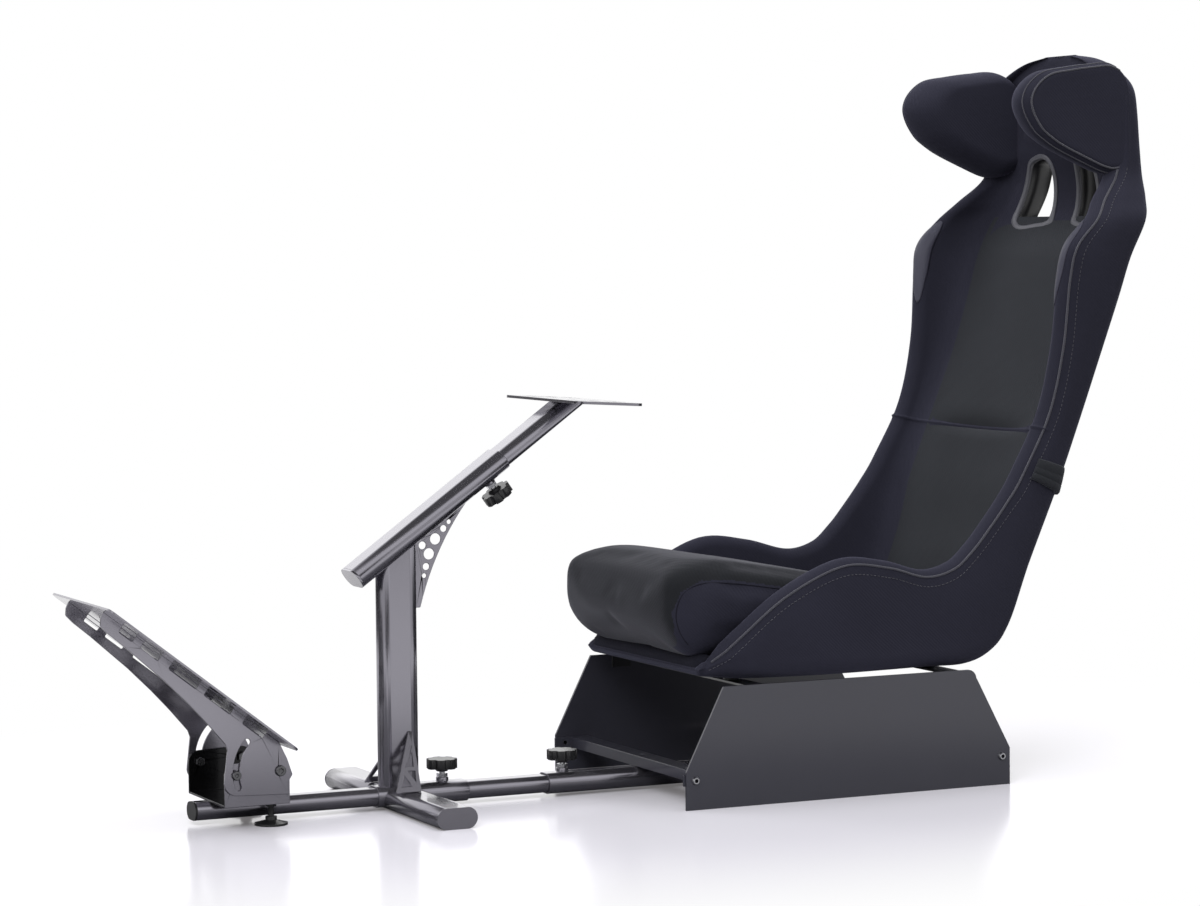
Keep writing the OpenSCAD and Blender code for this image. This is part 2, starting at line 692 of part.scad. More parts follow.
// Solid between a list of equal closed loops of 3-D points; mirrored turns the facets' diagonals
module loft(loops, mirrored = false) {
    n = len(loops[0]);
    m = len(loops);
    points = [for (l = loops, p = l) p];
    sides = [for (j = [0 : m - 2], i = [0 : n - 1]) let (k = (i + 1) % n, a = j * n + i, b = j * n + k,
        c = (j + 1) * n + k, d = (j + 1) * n + i)
        each mirrored ? [[a, b, d], [b, c, d]] : [[a, b, c], [a, c, d]]];
    ends = [[for (i = [n - 1 : -1 : 0]) i], [for (i = [0 : n - 1]) (m - 1) * n + i]];
    polyhedron(points, concat(sides, ends));
}

// Section at t with the shell's own flats between its steps
shell_steps = 2;
function ring(t) = let (i = floor(t * shell_steps + 0.001), f = t * shell_steps - i)
    mix(at(i / shell_steps), at((i + 1) / shell_steps), f);
function placed(s, points) = [for (p = points) skin(s, p[0], p[1])];

slot_in = 35;
slot_out = 112;
slot_low = seat_z + rise(slot_rise);
slot_high = slot_low + slot_h;
slot_back = seat_front + stations[head_at][0] + 60;
bezel_t = 2;

module slot_shape(grow) {
    offset(r = 8 + grow, $fn = part_fn) polygon([[slot_in + 8, slot_low + 14], [slot_out - 18, slot_low + 8],
        [slot_out - 8, slot_low + 30], [slot_out - 26, slot_high - 8], [slot_in + 8, slot_high - 8]]);
}

module slot_cut(side, grow) {
    translate([0, slot_back, 0]) mirror([side > 0 ? 0 : 1, 0, 0]) rotate([90, 0, 0])
        linear_extrude(180) slot_shape(grow);
}

lip_r = 13;
lip_z = seat_z + 5 + lip_r;

// Padded roll along the front edge of the shell, under the cushion's nose
module front_lip() {
    translate([0, seat_front + lip_back + lip_r - 4, lip_z]) rotate([0, 90, 0])
        cylinder(r = lip_r, h = 2 * (half(stations[0]) - 8), center = true, $fn = part_fn);
}

module seat_shell() {
    color(fabric) difference() {
        union() {
            loft([for (j = [0 : last * shell_steps]) let (s = at(j / shell_steps)) placed(s, loop(s))]);
            front_lip();
        }
        for (side = [-1, 1]) slot_cut(side, bezel_t + soft_gap);
    }
}

// Cushion sections: [y, bottom, top, half-width share]
cushion_low = seat_z + floor_t + 2 * soft_gap;
cushion_half_w = seat_half_w - cushion_inset;
cushion_rows = [[-38, 78, 100, 0.9], [-34, 60, 113, 0.96], [-24, 41, 124, 0.99], [-6, 24, 131, 1],
    [14, 14, 134, 1], [36, 0, 134, 1], [70, 0, 131, 1], [145, 0, 118, 1], [225, 0, 104, 1], [320, 0, 84, 1],
    [395, 0, 62, 0.98], [420, 8, 48, 0.95]];

function pillow(w, low, high, steps) = let (h = (high - low) / 2, m = (high + low) / 2)
    [for (i = [0 : steps - 1]) let (a = 360 * i / steps, c = cos(a), s = sin(a))
        [w * sign(c) * pow(abs(c), 0.35), m + h * sign(s) * pow(abs(s), 0.6)]];

module seat_cushion() {
    color(fabric) loft([for (r = cushion_rows)
        [for (p = pillow(cushion_half_w * r[3], r[1], r[2], 24)) [p[0], seat_front + r[0], cushion_low + p[1]]]]);
}

// Pad on the inner skin between two places along the seat
module back_pad(from, to, thick, share = 1) {
    n = (to - from) * shell_steps;
    color(fabric) loft([for (j = [0 : n]) let (t = max(from + 0.02, min(to - 0.02, mix(from, to, j / n))),
        s = ring(t), edge = min(1, 0.25 + 2.5 * min(j, n - j) / n), low = bed(s, pad_gap, share),
        w = low[side_steps][0]) placed(s, concat(low,
        [for (p = flip(low)) [p[0], p[1] + 1 + thick * edge * (1 - pow(abs(p[0] / w), 6))]]))], true);
}

seam_at = 11;
pad_gap = 2 * soft_gap;
pad_start = 8.5;
pad_end = 14.5;
head_from = head_at;
head_to = 20;
head_pad_t = 22;
head_share = 0.68;
head_face = seat_front + stations[head_at][2];

wing_outer = seat_half_w - wing_inset;
// Side outline of a head wing at its fullest: [y behind the seat's front, z above its underside]
wing_points = [[551, 824], [555, 801], [571, 777], [590, 762], [612, 750], [652, 732], [692, 716], [705, 740],
    [705, 868], [665, 875], [625, 870], [587, 863], [562, 845]];
// Layers of a wing: [distance in from its outer face, share of the full outline]
wing_layers = [[0, 0.8], [6, 0.92], [18, 1], [wing_t * 0.45, 0.98], [wing_t * 0.75, 0.88], [wing_t, 0.62]];
wing_root = [head_face - seat_front - 4, 812];

module head_wing(side) {
    color(fabric) mirror([side > 0 ? 0 : 1, 0, 0]) difference() {
        loft([for (l = wing_layers) [for (p = wing_points) let (q = wing_root + (p - wing_root) * l[1])
            [wing_outer - l[0], seat_front + q[0], seat_z + rise(q[1])]]]);
        translate([0, head_face - soft_gap, slot_low]) cube([2 * wing_outer, seat_h / 2, seat_h / 2]);
    }
}

// Layer that follows the shell's two skins past the slots, from low behind to high in front
module slot_layer(low, high) {
    loft([for (t = [14.5 : 0.25 : 18]) let (s = ring(t))
        placed(s, concat(low > 0 ? bed(s, low) : back(s, -low), flip(bed(s, high))))]);
}

module slot_trim(side) {
    color(trim) difference() {
        union() {
            intersection() {
                slot_cut(side, bezel_t);
                slot_layer(-1.5, 1.5);
            }
            intersection() {
                slot_cut(side, bezel_t + 4);
                slot_layer(2 * soft_gap, 2.3);
            }
        }
        slot_cut(side, 0);
    }
}

hem_at = 10;
hem_t = 3;
hem_h = 10;

// Hem band on the outer skin, extruded up along the skin's flat from section hem_at
module back_cover_hem() {
    low = ring(hem_at);
    up = ring(hem_at + 1 / shell_steps) - low;
    color(black) translate(skin(low, 0, 0)) rotate([atan2(-up[0], up[1]), 0, 0]) linear_extrude(hem_h)
        polygon([for (p = concat(back(low, soft_gap + hem_t), flip(back(low, soft_gap)))) [p[0], -p[1]]]);
}

module front_knob() {
    translate([0, front_knob_y, rail_top + soft_gap]) star_knob(sleeve_top - rail_top - soft_gap);
}

module rear_knob() {
    translate([0, rear_knob_y, rail_top + soft_gap]) star_knob(sleeve_top - rail_top - soft_gap);
}

module column_knob() {
    on_column() translate([0, column_h / 2 + soft_gap, column_knob_s]) rotate([-90, 0, 0])
        star_knob(tube_h / 2 - column_h / 2 - soft_gap);
}

side_panel(1);  // side_panel_left
side_panel(-1);  // side_panel_right
cross_bar(bar_front_y, 1);  // front_cross_bar
cross_bar(bar_rear_y, -1);  // rear_cross_bar
seat_rail(rail_front_y);  // seat_rail_front
seat_rail(rail_rear_y);  // seat_rail_rear
panel_bolts(1);  // panel_bolts_left
panel_bolts(-1);  // panel_bolts_right
rear_sleeve();
seat_shell();
seat_cushion();
back_pad(pad_start, seam_at, pad_t);  // back_pad_lower
back_pad(seam_at, pad_end, pad_t);  // back_pad_upper
back_pad(head_from, head_to, head_pad_t, head_share);  // head_pad
head_wing(1);  // head_wing_left
head_wing(-1);  // head_wing_right
slot_trim(1);  // slot_trim_left
slot_trim(-1);  // slot_trim_right
back_cover_hem();
pedal_rail();
rail_cap();
pedal_bracket();
leveller(1);  // leveller_left
leveller(-1);  // leveller_right
pivot_bolts();
lock_bolts();
cross_foot();
foot_cap(1);  // foot_cap_left
foot_cap(-1);  // foot_cap_right
front_sleeve();
upright();
column_outer();
column_cap();
column_gusset();
base_gusset(1);  // base_gusset_left
base_gusset(-1);  // base_gusset_right
column_inner();
wheel_plate();
pedal_side(1);  // pedal_side_left
pedal_side(-1);  // pedal_side_right
pedal_plate();
front_knob();
rear_knob();
column_knob();
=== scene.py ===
"""Finishes of a sim racing cockpit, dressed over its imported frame."""
import json
import math

import bmesh
import bpy
from bpy.props import FloatProperty, FloatVectorProperty, PointerProperty
from mathutils import Matrix, Vector
from mathutils.bvhtree import BVHTree


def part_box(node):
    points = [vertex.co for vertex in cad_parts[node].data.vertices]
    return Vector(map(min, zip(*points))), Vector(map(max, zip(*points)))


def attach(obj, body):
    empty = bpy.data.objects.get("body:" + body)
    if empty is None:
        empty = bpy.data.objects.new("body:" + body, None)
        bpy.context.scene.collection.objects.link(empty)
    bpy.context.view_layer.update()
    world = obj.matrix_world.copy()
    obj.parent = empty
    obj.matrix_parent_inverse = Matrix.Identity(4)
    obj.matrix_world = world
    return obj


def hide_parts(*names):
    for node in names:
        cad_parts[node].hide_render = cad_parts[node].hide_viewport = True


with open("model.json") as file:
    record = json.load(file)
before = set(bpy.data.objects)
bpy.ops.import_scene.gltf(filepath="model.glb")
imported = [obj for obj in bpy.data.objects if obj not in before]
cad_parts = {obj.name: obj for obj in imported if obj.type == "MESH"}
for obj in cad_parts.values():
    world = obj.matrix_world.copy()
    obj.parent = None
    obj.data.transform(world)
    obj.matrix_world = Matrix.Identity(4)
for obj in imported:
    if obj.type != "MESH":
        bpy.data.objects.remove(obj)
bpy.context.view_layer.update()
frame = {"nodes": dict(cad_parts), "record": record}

NODES = frame["nodes"]
MM = 0.001

bl_info = {
    "name": "Cockpit finishes",
    "version": (1, 0, 0),
    "blender": (4, 5, 0),
    "location": "View3D > Sidebar > Cockpit",
    "description": "Paint, fabric, piping and stitching of a sim racing cockpit",
    "category": "Object",
}


# Sizes and colours that a user would change

class CockpitPaint(bpy.types.PropertyGroup):
    tube: FloatVectorProperty(name="Tube paint", description="Gloss paint of the frame tubes",
                              subtype="COLOR", default=(0.285, 0.275, 0.315))
    panel: FloatVectorProperty(name="Panel paint", description="Satin paint of the side panels",
                               subtype="COLOR", default=(0.038, 0.038, 0.051))
    black: FloatVectorProperty(name="Black paint", description="Paint of the brackets",
                               subtype="COLOR", default=(0.012, 0.012, 0.014))
    plastic: FloatVectorProperty(name="Plastic", description="Moulded plastic of knobs and feet",
                                 subtype="COLOR", default=(0.014, 0.014, 0.015))
    zinc: FloatVectorProperty(name="Zinc", description="Plating of the bolts",
                              subtype="COLOR", default=(0.62, 0.62, 0.65))
    edge: FloatProperty(name="Edge radius", description="Broken edge of the metal parts",
                        unit="LENGTH", default=0.0008)


class CockpitFabric(bpy.types.PropertyGroup):
    knit: FloatVectorProperty(name="Knit", description="Main fabric of the seat",
                              subtype="COLOR", default=(0.0225, 0.0225, 0.034))
    centre: FloatVectorProperty(name="Centre knit", description="Fabric of the centre panels",
                                subtype="COLOR", default=(0.024, 0.0255, 0.0295))
    vinyl: FloatVectorProperty(name="Vinyl", description="Smooth patches at the shoulders",
                               subtype="COLOR", default=(0.052, 0.052, 0.075))
    thread: FloatVectorProperty(name="Thread", description="Piping and stitching",
                                subtype="COLOR", default=(0.045, 0.045, 0.06))
    bezel: FloatVectorProperty(name="Bezel", description="Edging of the harness slots",
                               subtype="COLOR", default=(0.1, 0.1, 0.115))
    piping: FloatProperty(name="Piping radius", description="Radius of the piping along the rim",
                          unit="LENGTH", default=0.0016)
    rib: FloatProperty(name="Rib", description="Width of one rib of the knit",
                       unit="LENGTH", default=0.0016)


class CockpitStage(bpy.types.PropertyGroup):
    place: FloatVectorProperty(name="Camera place", description="Where the camera stands",
                               subtype="TRANSLATION", default=(4.8292, -1.92198, 0.81405))
    turn: FloatProperty(name="Camera azimuth", description="Turn of the view about the vertical",
                        subtype="ANGLE", default=math.radians(65.0853))
    pitch: FloatProperty(name="Camera pitch", description="Dip of the view below the horizon",
                         subtype="ANGLE", default=0.0601)
    roll: FloatProperty(name="Camera roll", description="Roll of the view",
                        subtype="ANGLE", default=-0.0109)
    lens: FloatProperty(name="Lens", description="Focal length on a 36 mm sensor",
                        unit="CAMERA", default=110.43)
    floor: FloatProperty(name="Floor", description="Width of the studio floor",
                         unit="LENGTH", default=6.0)
    fade: FloatProperty(name="Shadow reach", description="Distance at which the floor fades to white",
                        unit="LENGTH", default=1.1)


# Shader nodes

class Wire:
    """An output socket of a material, with arithmetic that adds Math nodes."""

    def __init__(self, shader, socket):
        self.shader = shader
        self.socket = socket

    def math(self, operation, *values):
        return self.shader.add("ShaderNodeMath", {"operation": operation}, dict(enumerate(values)))

    def __add__(self, other):
        return self.math("ADD", self, other)

    def __radd__(self, other):
        return self.math("ADD", other, self)

    def __sub__(self, other):
        return self.math("SUBTRACT", self, other)

    def __rsub__(self, other):
        return self.math("SUBTRACT", other, self)

    def __mul__(self, other):
        return self.math("MULTIPLY", self, other)

    def __rmul__(self, other):
        return self.math("MULTIPLY", other, self)

    def __gt__(self, other):
        return self.math("GREATER_THAN", self, other)

    def __lt__(self, other):
        return self.math("LESS_THAN", self, other)


class Shader:
    """A material or a world, and the means to add nodes to it."""

    def __init__(self, name, kind="materials", surface="Principled BSDF"):
        self.name = name
        self.material = getattr(bpy.data, kind).new("cockpit_" + name)
        self.material.use_nodes = True
        self.tree = self.material.node_tree
        self.surface = self.tree.nodes[surface]

    def add(self, kind, settings=None, values=None, output=0):
        """Adds a node with its settings, fills its sockets and returns an output."""
        node = self.tree.nodes.new(kind)
        for name, value in (settings or {}).items():
            setattr(node, name, value)
        for name, value in (values or {}).items():
            self.feed(node.inputs[name], value)
        return Wire(self, node.outputs[output])

    def ray(self, *kinds):
        """1 for rays of the kinds named, and 0 for others."""
        rays = [self.add("ShaderNodeLightPath", output=f"Is {kind} Ray") for kind in kinds]
        total = rays[0]
        for wire in rays[1:]:
            total = total.math("MAXIMUM", total, wire)
        return total

    def feed(self, socket, value):
        """Links a wire to a socket, or sets the socket to a plain value."""
        if isinstance(value, Wire):
            self.tree.links.new(value.socket, socket)
        elif socket.type == "RGBA" and len(value) == 3:
            socket.default_value = (*value, 1)
        else:
            socket.default_value = value

    def place(self):
        """Position in the object's own frame."""
        return self.add("ShaderNodeTexCoord", output="Object")

    def split(self, vector, axis):
        return self.add("ShaderNodeSeparateXYZ", values={0: vector}, output=axis)

    def vector(self, operation, *values, output="Value"):
        settings = {"operation": operation}
        return self.add("ShaderNodeVectorMath", settings, dict(enumerate(values)), output)

    def noise(self, scale, detail):
        values = {"Scale": scale, "Detail": detail, "Vector": self.place()}
        return self.add("ShaderNodeTexNoise", values=values)

    def step(self, value, low, high):
        """Smooth step from 0 at low to 1 at high."""
        values = {"Value": value, "From Min": low, "From Max": high}
        return self.add("ShaderNodeMapRange", {"interpolation_type": "SMOOTHSTEP"}, values)

    def mix(self, mask, a, b):
        """Colour a where the mask is 0, colour b where it is 1."""
        return self.add("ShaderNodeMix", {"data_type": "RGBA"}, {0: mask, 6: a, 7: b}, output=2)

    def bump(self, height, distance, strength):
        values = {"Height": height, "Distance": distance, "Strength": strength}
        return self.add("ShaderNodeBump", values=values)

    def finish(self, **values):
        """Sets the main shader's sockets, named with _ for a space, and keeps the material by its name."""
        for name, value in values.items():
            self.feed(self.surface.inputs[name.replace("_", " ")], value)
        MADE[self.name] = self.material


def shade(colour, share):
    return tuple(min(1, c * share) for c in colour)


# Painted shade, near black, inside the pedal bracket, and painted shade in the hollow of a bolt's drive
# socket
INSIDE_PAINTED_SHADE = (0.02, 0.02, 0.022)
SOCKET_PAINTED_SHADE = (0.01, 0.01, 0.012)
SOCKET_R = 0.0028


def gloss_paint(name, colour, roughness, grain, metallic=0.0, inside=None):
    """Lacquered paint with a faint orange peel; where it is nearer the middle than inside, it gets painted
    shade, near black.
    """
    s = Shader(name)
    cloud = s.noise(9, 3)
    peel = s.noise(grain, 2)
    base = s.mix(cloud, shade(colour, 0.93), shade(colour, 1.07))
    # painted shade: faces within the half width turn near black, where shade falls between the bracket's
    # plates
    if inside:
        across = s.split(s.place(), "X")
        base = s.mix(across.math("ABSOLUTE", across) < inside, base, INSIDE_PAINTED_SHADE)
    s.finish(
        Base_Color=base,
        Roughness=cloud * 0.08 + (roughness - 0.04),
        Metallic=metallic,
        Normal=s.bump(peel, 0.0002, 0.15),
        Coat_Weight=0.6,
        Coat_Roughness=0.08,
    )


def moulded_plastic(name, colour, roughness, insert=None):
    """Fine spark-eroded plastic; below a height along an axis it turns into a zinc insert."""
    s = Shader(name)
    grain = s.noise(900, 2)
    cloud = s.noise(25, 2)
    base = s.mix(cloud, shade(colour, 0.85), shade(colour, 1.2))
    gloss = cloud * 0.12 + (roughness - 0.06)
    steel = 0.0
    if insert:
        axis, height = insert
        steel = s.vector("DOT_PRODUCT", s.place(), axis) < height
        base = s.mix(steel, base, tuple(bpy.context.scene.cockpit_paint.zinc))
        gloss = gloss - steel * 0.1
    s.finish(Base_Color=base, Roughness=gloss, Metallic=steel, Normal=s.bump(grain, 0.0002, 0.4))


def plated_steel(name, colour, sockets=()):
    """Zinc with a faint grain, with painted shade in the drive sockets at the places (y, z) given."""
    s = Shader(name)
    cloud = s.noise(140, 3)
    base = s.mix(cloud, shade(colour, 0.85), colour)
    # painted shade: a near-black disc of the socket's radius round each place
    for y, z in sockets:
        flat = s.vector("MULTIPLY", s.place(), (0, 1, 1), output="Vector")
        apart = s.vector("DISTANCE", flat, (0, y, z))
        base = s.mix(apart < SOCKET_R, base, SOCKET_PAINTED_SHADE)
    s.finish(
        Base_Color=base,
        Roughness=cloud * 0.2 + 0.16,
        Metallic=1.0,
        Normal=s.bump(cloud, 0.0002, 0.25),
    )


# Bands in a metre that the Wave node draws at a scale of 1
WAVE_BANDS = 3.18


def knit_fabric(name, colour, rib, sheen=0.16, tint=(0.6, 0.6, 0.85)):
    """Brushed knit: two crossing ribs, a soft nap and a sheen at grazing angles."""
    s = Shader(name)
    ribs = {"Vector": s.place(), "Distortion": 1.2, "Detail": 1}
    warp, weft = [
        s.add("ShaderNodeTexWave", {"bands_direction": way}, {**ribs, "Scale": share / rib / WAVE_BANDS})
        for way, share in (("Z", 1), ("DIAGONAL", 0.6))]
    nap = s.noise(700, 2)
    cloud = s.noise(6, 3)
    height = warp * 0.5 + weft * 0.35 + nap * 0.5
    tone = cloud * 0.7 + height * 0.3
    s.finish(
        Base_Color=s.mix(tone, shade(colour, 0.72), shade(colour, 1.35)),
        Roughness=0.9,
        Normal=s.bump(height, 0.0004, 0.6),
        Sheen_Weight=sheen,
        Sheen_Roughness=0.4,
        Sheen_Tint=tint,
        Specular_IOR_Level=0.12,
    )


def grained_vinyl(name, colour):
    """Smooth coated fabric with a fine leather grain."""
    s = Shader(name)
    cells = s.add("ShaderNodeTexVoronoi", {"feature": "F1"}, {"Vector": s.place(), "Scale": 620})
    cloud = s.noise(18, 3)
    s.finish(
        Base_Color=s.mix(cloud, shade(colour, 0.8), shade(colour, 1.15)),
        Roughness=cloud * 0.15 + 0.42,
        Normal=s.bump(cells, 0.0004, 0.4),
    )


def twisted_thread(name, colour):
    """Cord cover with a slanting twist."""
    s = Shader(name)
    twist = s.add("ShaderNodeTexWave", {"bands_direction": "DIAGONAL"},
                  {"Vector": s.place(), "Scale": 260, "Distortion": 0.5})
    s.finish(
        Base_Color=s.mix(twist, shade(colour, 0.75), shade(colour, 1.2)),
        Roughness=0.7,
        Normal=s.bump(twist, 0.0003, 0.5),
        Sheen_Weight=0.3,
    )


# Half width of the pedal bracket's inside, which gets painted shade, just short of its outer faces
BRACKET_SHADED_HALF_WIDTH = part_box("pedal_bracket")[1].x - 0.0005
# Slope of the wheel column, the axes that the knobs point along, and the height of a knob's head
COLUMN_ANGLE = math.radians(35.5)
KNOB_AXES = {"front_knob": Vector((0, 0, 1)), "rear_knob": Vector((0, 0, 1)),
             "column_knob": Vector((0, math.sin(COLUMN_ANGLE), -math.cos(COLUMN_ANGLE)))}
KNOB_HEAD = 0.0182
# Finishes of the nodes that don't take their slot's own
FINISHES = {"pedal_bracket": "bracket_paint", "pivot_bolts": "dark_zinc", "lock_bolts": "dark_zinc",
            **{knob: knob + "_plastic" for knob in KNOB_AXES}}


# Materials made here, by the name of their finish
MADE = {}


def make_materials():
    """One material for each of the record's slots, and the seat's other finishes."""
    paint = bpy.context.scene.cockpit_paint
    fabric = bpy.context.scene.cockpit_fabric
    gloss_paint("frame_paint", paint.tube, 0.2, 420, 0.93)
    # the bracket: tube paint with painted shade on its inside
    gloss_paint("bracket_paint", paint.tube, 0.24, 420, 0.93, inside=BRACKET_SHADED_HALF_WIDTH)
    gloss_paint("panel_paint", paint.panel, 0.38, 900, 0.2)
    gloss_paint("black_paint", paint.black, 0.4, 900)
    moulded_plastic("black_plastic", paint.plastic, 0.3)
    for knob, axis in KNOB_AXES.items():
        top = max(v.co.dot(axis) for v in NODES[knob].data.vertices)
        moulded_plastic(knob + "_plastic", paint.plastic, 0.26, (tuple(axis), top - KNOB_HEAD))
    low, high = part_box("panel_bolts_left")
    head = (high.z - low.z) / 2
    # places of the drive sockets in the bolt heads, which get painted shade
    shaded_drives = [(y, (low.z + high.z) / 2) for y in (low.y + head, high.y - head)]
    plated_steel("zinc_steel", paint.zinc, shaded_drives)
    plated_steel("dark_zinc", shade(paint.zinc, 0.3))
    knit_fabric("knit_fabric", fabric.knit, fabric.rib)
    knit_fabric("centre_knit", fabric.centre, fabric.rib, tint=(0.68, 0.7, 0.8))
    # the cushion's knit: the centre knit, the same fabric, darkened as painted shade
    knit_fabric("cushion_knit", shade(fabric.centre, 0.6), fabric.rib, 0.3, (0.7, 0.7, 0.8))
    knit_fabric("black_webbing", shade(fabric.knit, 0.5), 2 * fabric.rib, 0.05)
    moulded_plastic("grey_trim", fabric.bezel, 0.45)
    grained_vinyl("vinyl", fabric.vinyl)
    twisted_thread("thread", fabric.thread)


def material(name):
    """The material of a finish; the first one asked for makes them all."""
    if name not in MADE:
        make_materials()
    return MADE[name]


# Meshes

def link_object(name, data):
    piece = bpy.data.objects.new(name, data)
    bpy.context.scene.collection.objects.link(piece)
    return piece


def add_piece(name, data, finish, nodes=()):
    """Adds a piece of the seat with its finish, and ties it to the seat's body."""
    piece = link_object(name, data)
    if finish:
        data.materials.append(material(finish))
    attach(piece, "seat_base")
    if nodes:
        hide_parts(*nodes)
    return piece


def mesh_from(name, points, faces, smooth=True):
    data = bpy.data.meshes.new(name)
    data.from_pydata(points, [], faces)
    data.validate()
    if smooth:
        data.shade_smooth()
    return data


def ring_faces(rings, size, closed=True):
    """Quads between equal rings of points."""
    last = size if closed else size - 1
    return [(j * size + i, j * size + (i + 1) % size, (j + 1) * size + (i + 1) % size, (j + 1) * size + i)
            for j in range(rings - 1) for i in range(last)]


def capped_faces(rings, size):
    """Quads between equal closed rings, and a face over each end."""
    last = (rings - 1) * size
    return ring_faces(rings, size) + [tuple(range(size - 1, -1, -1)), tuple(range(last, last + size))]


def loft(name, rings, faces=ring_faces, **options):
    """A skin over equal rings of points."""
    faces = faces(len(rings), len(rings[0]), **options)
    return mesh_from(name, [p for ring in rings for p in ring], faces)


def solid_loft(name, rings):
    """A closed skin over equal closed rings, its faces pointing out."""
    data = loft(name, rings, capped_faces)
    outward(data)
    return data


def edit_mesh(data, change):
    """Runs a change on a mesh through bmesh."""
    work = bmesh.new()
    work.from_mesh(data)
    change(work)
    work.to_mesh(data)
    work.free()


def outward(data):
    """Makes the faces of a closed mesh point out."""
    edit_mesh(data, lambda work: bmesh.ops.recalc_face_normals(work, faces=work.faces))


def cord(name, path, radius, finish):
    """A sewn cord along a path."""
    data = bpy.data.curves.new(name, "CURVE")
    data.dimensions = "3D"
    data.bevel_depth = radius
    data.bevel_resolution = 2
    data.use_fill_caps = True
    spline = data.splines.new("POLY")
    spline.points.add(len(path) - 1)
    for point, place in zip(spline.points, path):
        point.co = (*place, 1)
    return add_piece(name, data, finish)


def walk(path, step):
    """Even steps along a path: (place, direction) pairs."""
    out, left = [], 0.0
    for a, b in zip(path, path[1:]):
        run = (b - a).length
        while run and left < run:
            out.append((a.lerp(b, left / run), (b - a).normalized()))
            left += step
        left -= run
    return out


STITCH, STITCH_GAP, STITCH_R, STITCH_SIDES = 0.0042, 0.0022, 0.00055, 5
# Rings of one stitch: place along it as a share of its length, and share of its radius
STITCH_RINGS = ((-0.5, 0.35), (-0.3, 1.0), (0.3, 1.0), (0.5, 0.35))


def stitches(name, paths):
    """Rows of short threads lying along paths."""
    points, faces = [], []
    turns = [math.tau * i / STITCH_SIDES for i in range(STITCH_SIDES)]
    one_stitch = capped_faces(len(STITCH_RINGS), STITCH_SIDES)
    for path in paths:
        for place, along in walk(path, STITCH + STITCH_GAP):
            side = along.orthogonal().normalized()
            up = along.cross(side)
            start = len(points)
            for share, wide in STITCH_RINGS:
                centre, r = place + along * (share * STITCH), STITCH_R * wide
                points += [centre + (side * math.cos(a) + up * math.sin(a)) * r for a in turns]
            faces += [tuple(start + v for v in face) for face in one_stitch]
    return add_piece(name, mesh_from(name, points, faces), "thread")


def evaluated(piece):
    """The piece's mesh with its modifiers applied."""
    graph = bpy.context.evaluated_depsgraph_get()
    return bpy.data.meshes.new_from_object(piece.evaluated_get(graph))


def settle(piece):
    """Applies the piece's modifiers."""
    data = evaluated(piece)
    piece.modifiers.clear()
    piece.data = data
    data.shade_smooth()


def thicken(piece, thickness):
    """Gives an open skin its thickness, on its inner side."""
    change = piece.modifiers.new("Thickness", "SOLIDIFY")
    change.thickness = thickness
    settle(piece)


# Numbers and curves

def mix(a, b, share):
    return a + (b - a) * share


def ramp(value, low, high):
    """Smooth step from 0 at low to 1 at high."""
    share = min(1, max(0, (value - low) / (high - low)))
    return share * share * (3 - 2 * share)


def curve(a, b, c, d, f):
    """Place at share f between b and c, on a smooth curve through all four."""
    square, cube = 2 * a - 5 * b + 4 * c - d, 3 * b - a - 3 * c + d
    return 0.5 * (2 * b + (c - a) * f + square * f * f + cube * f ** 3)


def row_at(rows, t):
    """The row at place t, on a smooth curve through the numbered rows."""
    last = len(rows) - 1
    i = max(0, min(last - 1, int(t)))
    near = [rows[max(0, min(last, i + k))] for k in (-1, 0, 1, 2)]
    return [curve(*four, t - i) for four in zip(*near)]


def smooth_closed(points, count):
    """Even samples of a smooth closed curve through points."""
    n, out = len(points), []
    for k in range(count):
        u = k / count * n
        i = int(u)
        out.append(curve(*(Vector(points[(i + m) % n]) for m in (-1, 0, 1, 2)), u - i))
    return out


def inset(outline, distance):
    """Closed plane outline moved in by a distance; positive is to the left of its run."""
    n, out = len(outline), []
    for i, p in enumerate(outline):
        run = (outline[(i + 1) % n] - outline[i - 1]).normalized()
        out.append(p + Vector((-run.y, run.x)) * distance)
    return out


# The seat's form, in millimetres from the shell's front and underside

HALF_W = 224
RIM_W = 34
# Radius of the outer skin's corner, and how far the side bulges between it and the rim
CORNER_R = 26
BULGE = 3
# Depths of the seat from which the rim has its full width and the side its full bulge
RIM_FULL, BULGE_FULL = 50, 80
# Width of the curve between the seat's bed and its bolsters, on the seat and on the back, the place along
# the seat where it starts to change, and over how many sections
FILLET = (30, 46)
FILLET_FROM, FILLET_RUN = 6, 3
# The bolster's inner side: how far it leans in at its top, and the share of each way that it stays straight
BOLSTER_LEAN, BOLSTER_STRAIGHT = 4, 0.72
# How much more than the outer skin's crown the inner skin is hollowed
BUCKET = 1.6
